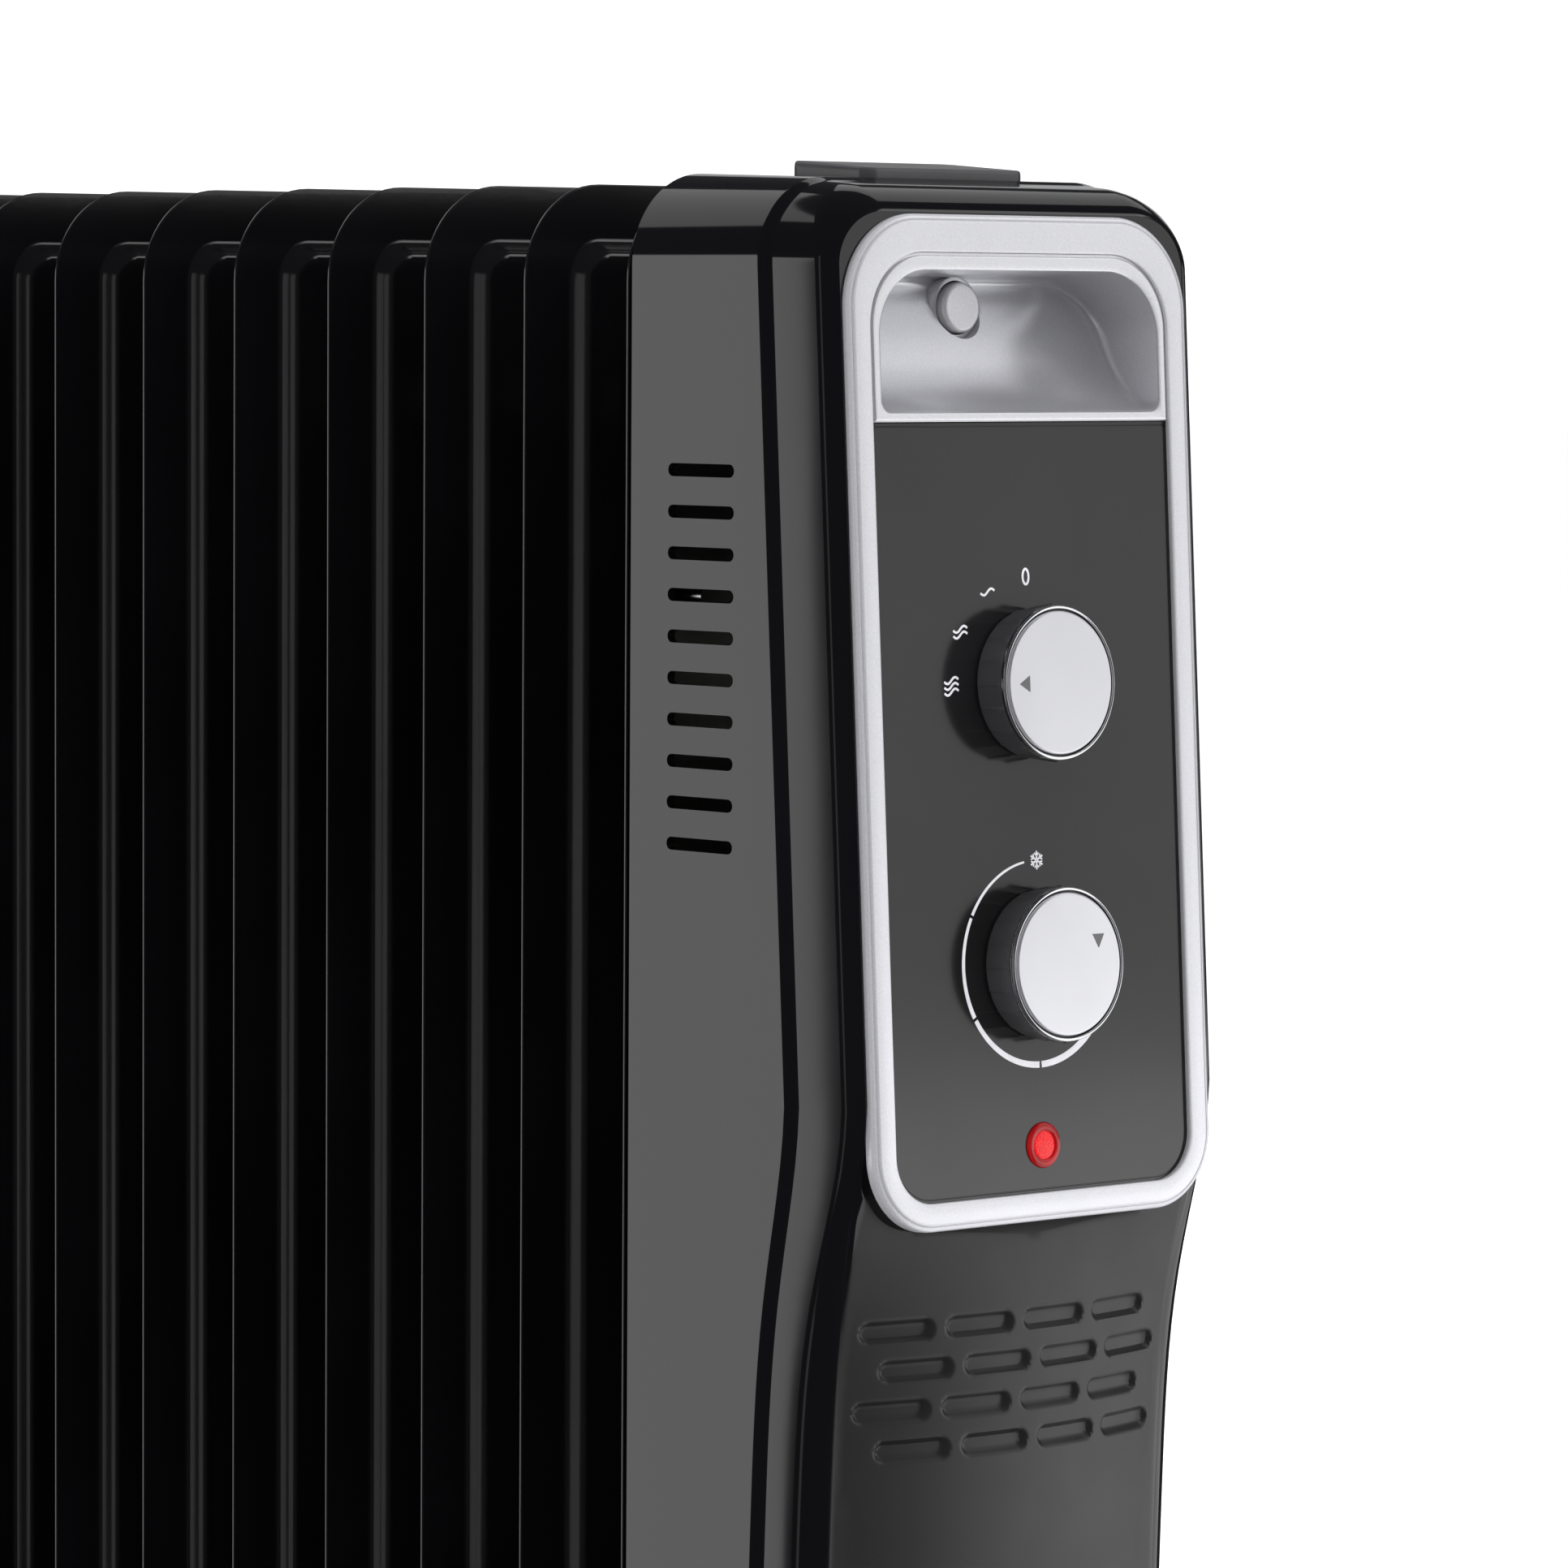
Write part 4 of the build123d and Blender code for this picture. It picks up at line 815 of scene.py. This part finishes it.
def grip_button():
    """The round push button, with a rolled edge."""
    build = Build()
    profile = [(0, BUTTON_BACK), (BUTTON_R, BUTTON_BACK), (BUTTON_R, BUTTON_FACE - BUTTON_ROLL)]
    for degrees in (22, 45, 67, 90):
        a = math.radians(degrees)
        profile.append((BUTTON_R - BUTTON_ROLL + BUTTON_ROLL * math.cos(a),
                        BUTTON_FACE - BUTTON_ROLL + BUTTON_ROLL * math.sin(a)))
    profile += [(BUTTON_R - 2.2, BUTTON_FACE - 0.08), (0, BUTTON_FACE - 0.3)]
    lathe(build, profile, lambda y, a, h: face_point(y, BUTTON_Z + a, h), count=64)
    piece = add_mesh("grip_button_skin", build.points, build.faces, MAT["silver_satin"], "push_button",
                     50)
    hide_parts("grip_button")


SPRING_BASE, SPRING_LENGTH, SPRING_R, WIRE_R, SPRING_TURNS = -44.0, 6.0, 4.2, 0.4, 2.5


def button_spring():
    """The button's return spring, a coil behind the button."""
    build = Build()
    steps, sides = 96, 8
    rings = []
    for i in range(steps + 1):
        turn = 2 * math.pi * SPRING_TURNS * i / steps
        out = SPRING_BASE + WIRE_R + (SPRING_LENGTH - 2 * WIRE_R) * i / steps
        ring = []
        for k in range(sides):
            a = 2 * math.pi * k / sides
            r = SPRING_R + WIRE_R * math.cos(a)
            y, along = r * math.cos(turn), BUTTON_Z + r * math.sin(turn)
            ring.append(face_point(y, along, out + WIRE_R * math.sin(a)))
        rings.append(build.ring(ring))
    for a, b in zip(rings, rings[1:]):
        build.bridge(a, b)
    build.faces += [tuple(rings[0]), tuple(rings[-1])]
    piece = add_mesh("button_spring_coil", build.points, build.faces, MAT["spring_steel"],
                     smooth_angle=60)
    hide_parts("button_spring")
    face_point(0, BUTTON_Z, SPRING_BASE) * 0.001
    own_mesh(piece)


# ---------------------------------------------------------------- knobs
KNOB_R, KNOB_FLATS, FLAT_STEPS = 21.7, 20, 12
# A skirt's turned profile: (share of the knob's radius, height, how far its flats show).
SKIRT_PROFILE = [(0.0, -0.4, 0.0), (0.955, -0.4, 0.0), (0.965, 0.0, 0.6), (0.975, 2.0, 1.0), (0.988, 5.0, 1.0),
                 (1.0, 8.0, 1.0), (1.003, 9.2, 0.7), (1.0, 9.75, 0.2), (0.985, 9.9, 0.0), (0.93, 9.9, 0.0),
                 (0.93, 10.9, 0.0), (0.0, 10.9, 0.0)]
RIDGE_HEIGHT, RIDGE_W = 0.42, 0.32
RING_PROFILE = [(20.65, 9.95), (21.45, 9.95), (21.68, 10.25), (21.7, 10.8), (21.62, 11.3), (21.3, 11.62),
                (20.95, 11.62), (20.7, 11.3), (20.65, 9.95)]
CAP_PROFILE = [(0, 10.9), (20.2, 10.9), (20.2, 11.05), (20.1, 11.3), (19.9, 11.6), (19.65, 11.74),
               (19.35, 11.78), (0, 11.86)]
KNOB_ROUND = 120                               # points round the ring and the cap
POINTER_TIP, POINTER_BASE, POINTER_HALF_W = 15.9, 12.1, 2.25


def knob(name, body, along, turn):
    """One knob: a skirt of flats with fine ridges, a bright ring, and a satin cap with its pointer."""
    flat = 2 * math.pi / KNOB_FLATS

    def side(angle, k):
        share = SKIRT_PROFILE[k][2]
        offset = (angle + flat / 2) % flat - flat / 2
        polygon = math.cos(flat / 2) / math.cos(abs(offset) - flat / 2)
        ridge = RIDGE_HEIGHT * math.exp(-(offset * KNOB_R / RIDGE_W) ** 2)
        flare = 1 + 0.8 * step((SKIRT_PROFILE[k][1] - 6.0) / 4.0)
        return 1 + share * (polygon - 1 + ridge * flare / KNOB_R)

    place = lambda y, a, h: face_point(y, along + a, h)
    build = Build()
    lathe(build, [(KNOB_R * r, h) for r, h, _ in SKIRT_PROFILE], place, KNOB_FLATS * FLAT_STEPS, side)
    skirt = add_mesh(name + "_skirt", build.points, build.faces, MAT["knob_gloss"], body, 35)
    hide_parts(name)
    build = Build()
    lathe(build, RING_PROFILE, place, KNOB_ROUND)
    ring = add_mesh(name + "_bright_ring", build.points, build.faces, MAT["rim_chrome"], body,
                    60)
    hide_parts(name + "_ring")
    build = Build()
    lathe(build, CAP_PROFILE, place, KNOB_ROUND)
    cap = add_mesh(name + "_satin_cap", build.points, build.faces, MAT["cap_aluminium"], body,
                   14)
    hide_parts(name + "_cap")
    build = Build()
    corners = [(0, POINTER_TIP), (-POINTER_HALF_W, POINTER_BASE), (POINTER_HALF_W, POINTER_BASE)]
    c, s = math.cos(turn), math.sin(turn)
    spun = [(y * c - a * s, y * s + a * c) for y, a in corners]
    top = build.ring([place(y, a, 11.93) for y, a in spun])
    foot = build.ring([place(y, a, 11.8) for y, a in spun])
    build.faces += [tuple(top), tuple(foot)]
    build.bridge(top, foot)
    add_mesh(name + "_pointer", build.points, build.faces, INK_DARK, body)


def lamp():
    """The round red lens: a low rolled rim round a prism-textured centre that is painted lighter and glows
    with painted light.
    """
    rim = [(LAMP_R - 2.35, -0.75), (LAMP_R - 2.3, -0.5), (LAMP_R - 1.9, -0.32), (LAMP_R - 1.2, -0.3),
           (LAMP_R - 0.5, -0.42), (LAMP_R - 0.15, -0.7), (LAMP_R - 0.03, -1.1), (LAMP_R - 0.03, -3.0),
           (0, -3.0)]
    centre = [(LAMP_R - 2.35, -0.75), (LAMP_R - 2.5, -0.62)]
    centre += [(r, -0.6 + 0.12 * (1 - (r / 4) ** 2)) for r in (3.2, 2.4, 1.6, 0.8)]
    centre += [(0, -0.48)]
    parts = (("lamp_lens_rim", rim, "red_lens"), ("lamp_lens_disc", centre, "lens_disc"))
    for name, profile, material in parts:
        build = Build()
        lathe(build, profile, lambda y, a, h: face_point(y, LAMP_Z + a, h), 64)
        piece = add_mesh(name, build.points, build.faces, MAT[material], smooth_angle=40)
    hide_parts("lamp_lens")


# ---------------------------------------------------------------- printed marks
PRINT_OUT, PRINT_BACK = -1.13, -1.22
MARK_R, MARK_LINE = 30.0, 0.66
ZERO_HALF_W, ZERO_HALF_H = 1.15, 2.15
WAVE_HALF, WAVE_RISE, WAVE_GAP = 2.7, 0.75, 1.6
ARC_R, ARC_START, ARC_END = 29.3, 98.0, 396.0
ARC_BREAKS = (150.0, 210.0, 270.0)


def ribbon(build, line, half_width):
    """A thin printed stroke along a line of (y, along) points. half_width may be a list."""
    widths = half_width if isinstance(half_width, list) else [half_width] * len(line)
    sides = ([], [])
    for i, (p, w) in enumerate(zip(line, widths)):
        a, b = Vector(line[max(0, i - 1)]), Vector(line[min(len(line) - 1, i + 1)])
        t = (b - a).normalized()
        n = Vector((-t.y, t.x))
        sides[0].append(Vector(p) + n * w)
        sides[1].append(Vector(p) - n * w)
    outline = sides[0] + sides[1][::-1]
    top = build.ring([face_point(p.x, p.y, PRINT_OUT) for p in outline])
    foot = build.ring([face_point(p.x, p.y, PRINT_BACK) for p in outline])
    build.bridge(top, foot)
    count = len(line)
    for ring in (top, foot):
        for i in range(count - 1):
            build.faces.append((ring[i], ring[i + 1], ring[2 * count - 2 - i], ring[2 * count - 1 - i]))


def wave(build, y, along, lines):
    """Stacked wave strokes, leaning up to the right."""
    for k in range(lines):
        lift = (k - (lines - 1) / 2) * WAVE_GAP
        points = []
        for i in range(25):
            t = i / 24
            x = (t - 0.5) * 2 * WAVE_HALF
            points.append((y + x, along + lift + 0.12 * x - WAVE_RISE * math.sin(2 * math.pi * t)))
        ribbon(build, points, MARK_LINE / 2)


def dial_marks():
    """The selector's 0 and heat steps, and the thermostat's snowflake and widening arc."""
    build = Build()
    zero = [(ZERO_HALF_W * math.cos(a), SELECTOR_Z + MARK_R + ZERO_HALF_H * math.sin(a))
            for a in (2 * math.pi * i / 36 for i in range(37))]
    ribbon(build, zero, 0.36)
    for k, lines in ((1, 1), (2, 2), (3, 3)):
        a = math.radians(90 + 30 * k)
        wave(build, MARK_R * math.cos(a), SELECTOR_Z + MARK_R * math.sin(a), lines)
    flake_y, flake_z = 0.9, THERMOSTAT_Z + 29.1
    for k in range(6):
        a = math.radians(90 + 60 * k)
        direction, across = Vector((math.cos(a), math.sin(a))), Vector((-math.sin(a), math.cos(a)))
        centre = Vector((flake_y, flake_z))
        ribbon(build, [centre, centre + direction * 2.6], 0.26)
        for s in (1, -1):
            root = centre + direction * 1.2
            ribbon(build, [root, root + direction * 0.85 + across * 0.85 * s], 0.21)
    stops = [ARC_START, *ARC_BREAKS, ARC_END]
    for first, last in zip(stops, stops[1:]):
        a0 = first + (0.9 if first in ARC_BREAKS else 0)
        a1 = last - (0.9 if last in ARC_BREAKS else 0)
        line, widths = [], []
        for i in range(31):
            angle = a0 + (a1 - a0) * i / 30
            width = 0.6 + 2.1 * (angle - ARC_START) / (ARC_END - ARC_START)
            r = ARC_R - width / 2
            line.append((r * math.cos(math.radians(angle)), THERMOSTAT_Z + r * math.sin(math.radians(angle))))
            widths.append(width / 2)
        ribbon(build, line, widths)
    add_mesh("dial_marks", build.points, build.faces, INK_WHITE)


# ---------------------------------------------------------------- top grip
GRIP_SUNK, GRIP_FALL, GRIP_CORNER = 2.6, 2.4, 4.0


def top_grip():
    """The low smoky block on the housing's top, falling towards the front, with rolled edges."""
    build = Build()
    low, high = mm_box("top_grip")
    mid_x, half_x, half_y = (low.x + high.x) / 2, (high.x - low.x) / 2, high.y
    base = HOUSING_TOP - GRIP_SUNK
    loop = rounded_loop(half_x, -half_y, half_y, GRIP_CORNER, GRIP_CORNER, arc=8)
    profile = [(0.3, 0.0), (0.0, 0.3), (0.0, 1 - 0.3), (0.12, 1 - 0.12), (0.4, 1 - 0.03), (0.9, 1.0),
               (3.0, 1.0)]

    def place(x, y, share):
        top = high.z - GRIP_FALL * (x + half_x) / (2 * half_x)
        return Vector((mid_x + x, y, base + (top - base) * share))

    rings = sweep_profile(build, loop, profile, place)
    build.faces.append(tuple(rings[0]))
    build.faces.append(tuple(rings[-1]))
    piece = add_mesh("top_grip_skin", build.points, build.faces, MAT["smoked_grip"],
                     smooth_angle=50)
    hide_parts("top_grip")


# ---------------------------------------------------------------- softened CAD pieces
def soften():
    """Small rounded edges on the CAD pieces that are shown as they are."""
    widths = {"_foot_bar": 0.6, "_fork": 0.5, "_wheel": 0.3, "_axle": 0.2, "_u_bolt": 0.1, "wing_nuts": 0.3,
              "cord_gland": 0.3, "oil_filler_plug": 0.4, "rear_plate": 0.15, "lamp_body": 0.2,
              "terminal_block": 0.3}
    for node, piece in frame["nodes"].items():
        for ending, width in widths.items():
            if node.endswith(ending):
                bevel = piece.modifiers.new("rounded_edges", "BEVEL")
                bevel.width = width * TO_METRES
                bevel.segments = 2
                bevel.limit_method = "ANGLE"
                bevel.angle_limit = math.radians(40)
                bevel.harden_normals = False


fins()
housing()
silver_frame()
control_panel()
grip_insert()
grip_button()
button_spring()
knob("selector_knob", "selector_dial", SELECTOR_Z, math.radians(90))
knob("thermostat_knob", "thermostat_dial", THERMOSTAT_Z, math.radians(-60))
lamp()
dial_marks()
top_grip()
soften()


# ---------------------------------------------------------------- stage, light and camera
FLOOR_HALF, FLOOR_Z = 30, -0.001
WORLD_LIGHT, WORLD_REFLECTED = 1.3, 0.05       # what reflections see is kept dim, so the black stays black
AIM = (0.25, 0, 0.45)
CAMERA_AZIMUTH, CAMERA_ELEVATION, CAMERA_ROLL = 47.74, 3.63, 0.34
CAMERA_TARGET, CAMERA_DISTANCE, CAMERA_LENS = (0.1665, 0, 0.46256), 2.13075, 167.7


def card(name, centre, target, size, strength):
    """A soft rectangular light facing a target."""
    data = bpy.data.lights.new(name, "AREA")
    data.shape = "RECTANGLE"
    data.size, data.size_y = size
    data.energy = strength * size[0] * size[1] * math.pi
    light = bpy.data.objects.new(name, data)
    light.location = centre
    light.visible_camera = False
    light.rotation_mode = "QUATERNION"
    light.rotation_quaternion = (Vector(target) - Vector(centre)).to_track_quat("-Z", "Y")
    bpy.context.scene.collection.objects.link(light)
    return light


def studio():
    """A plain pale floor and backdrop, soft cards on both sides, and a soft top light."""
    mesh = bpy.data.meshes.new("floor")
    corners = [(x * FLOOR_HALF, y * FLOOR_HALF, FLOOR_Z) for x, y in ((-1, -1), (1, -1), (1, 1), (-1, 1))]
    mesh.from_pydata(corners, [], [(0, 1, 2, 3)])
    floor = bpy.data.objects.new("floor", mesh)
    bpy.context.scene.collection.objects.link(floor)
    m = Nodes("floor_paint")
    m.colours(m.noise(3.0), (0.86, 0.86, 0.865), (0.88, 0.88, 0.885))
    m.roughness(m.noise(12.0), 0.75, 0.9)
    m.bump([(m.noise(60.0), 0.02, 0.002)])
    mesh.materials.append(m.material)
    floor.visible_glossy = False

    world = bpy.data.worlds.new("studio")
    bpy.context.scene.world = world
    world.use_nodes = True
    tree = world.node_tree
    pale, dim = tree.nodes["Background"], tree.nodes.new("ShaderNodeBackground")
    pale.inputs["Color"].default_value = (1, 1, 1, 1)
    pale.inputs["Strength"].default_value = WORLD_LIGHT
    dim.inputs["Color"].default_value = (0.9, 0.92, 1.0, 1)
    dim.inputs["Strength"].default_value = WORLD_REFLECTED
    path, mix = tree.nodes.new("ShaderNodeLightPath"), tree.nodes.new("ShaderNodeMixShader")
    tree.links.new(path.outputs["Is Glossy Ray"], mix.inputs["Fac"])
    tree.links.new(pale.outputs["Background"], mix.inputs[1])
    tree.links.new(dim.outputs["Background"], mix.inputs[2])
    tree.links.new(mix.outputs["Shader"], tree.nodes["World Output"].inputs["Surface"])

    card("side_card", (-2.1, -2.0, 0.35), (0.22, -0.075, 0.45), (1.7, 1.5), 1.75)
    card("high_side_card", (-2.0, -0.3, 2.3), AIM, (2.0, 1.4), 0.85)
    card("back_card", (-1.9, 2.4, 0.9), AIM, (2.2, 1.5), 0.5)
    card("top_back_card", (-1.0, 2.1, 2.6), AIM, (1.9, 1.2), 0.6)
    card("front_card", (2.3, 2.3, 0.7), AIM, (2.0, 2.4), 1.0)
    card("upper_front_card", (1.9, 2.2, 2.5), (0.26, 0, 0.59), (1.6, 1.2), 1.6)
    card("left_strip", (0.9, -2.6, 0.5), AIM, (0.5, 2.2), 0.45)
    low_card = card("low_front_card", (0.62, 0.62, 0.02), (0.28, 0.05, 0.6), (0.9, 0.9), 1.3)
    low_card.visible_diffuse = False
    fill = card("front_fill", (3.2, -0.3, 1.2), AIM, (1.6, 1.6), 1.2)
    fill.visible_glossy = False
    floor_light = card("floor_fill", (0.0, 0.0, 5.5), (0, 0, 0), (7.0, 7.0), 1.5)
    floor_light.visible_glossy = False


def camera():
    """The photograph's viewpoint: a long lens, a little above the controls, off the control end's left."""
    azimuth, elevation = math.radians(CAMERA_AZIMUTH), math.radians(CAMERA_ELEVATION)
    roll = math.radians(CAMERA_ROLL)
    back = Vector((math.sin(azimuth) * math.cos(elevation), -math.cos(azimuth) * math.cos(elevation),
                   math.sin(elevation)))
    level = Vector((math.cos(azimuth), math.sin(azimuth), 0))
    rise = back.cross(level)
    right = level * math.cos(roll) + rise * math.sin(roll)
    up = rise * math.cos(roll) - level * math.sin(roll)
    data = bpy.data.cameras.new("camera")
    data.sensor_width = 36
    data.lens = CAMERA_LENS
    eye = bpy.data.objects.new("camera", data)
    place = Matrix((right, up, back)).transposed().to_4x4()
    place.translation = Vector(CAMERA_TARGET) + back * CAMERA_DISTANCE
    eye.matrix_world = place
    bpy.context.scene.collection.objects.link(eye)
    bpy.context.scene.camera = eye


studio()
camera()
scene = bpy.context.scene
scene.view_settings.view_transform = "Standard"
scene.view_settings.look = "None"
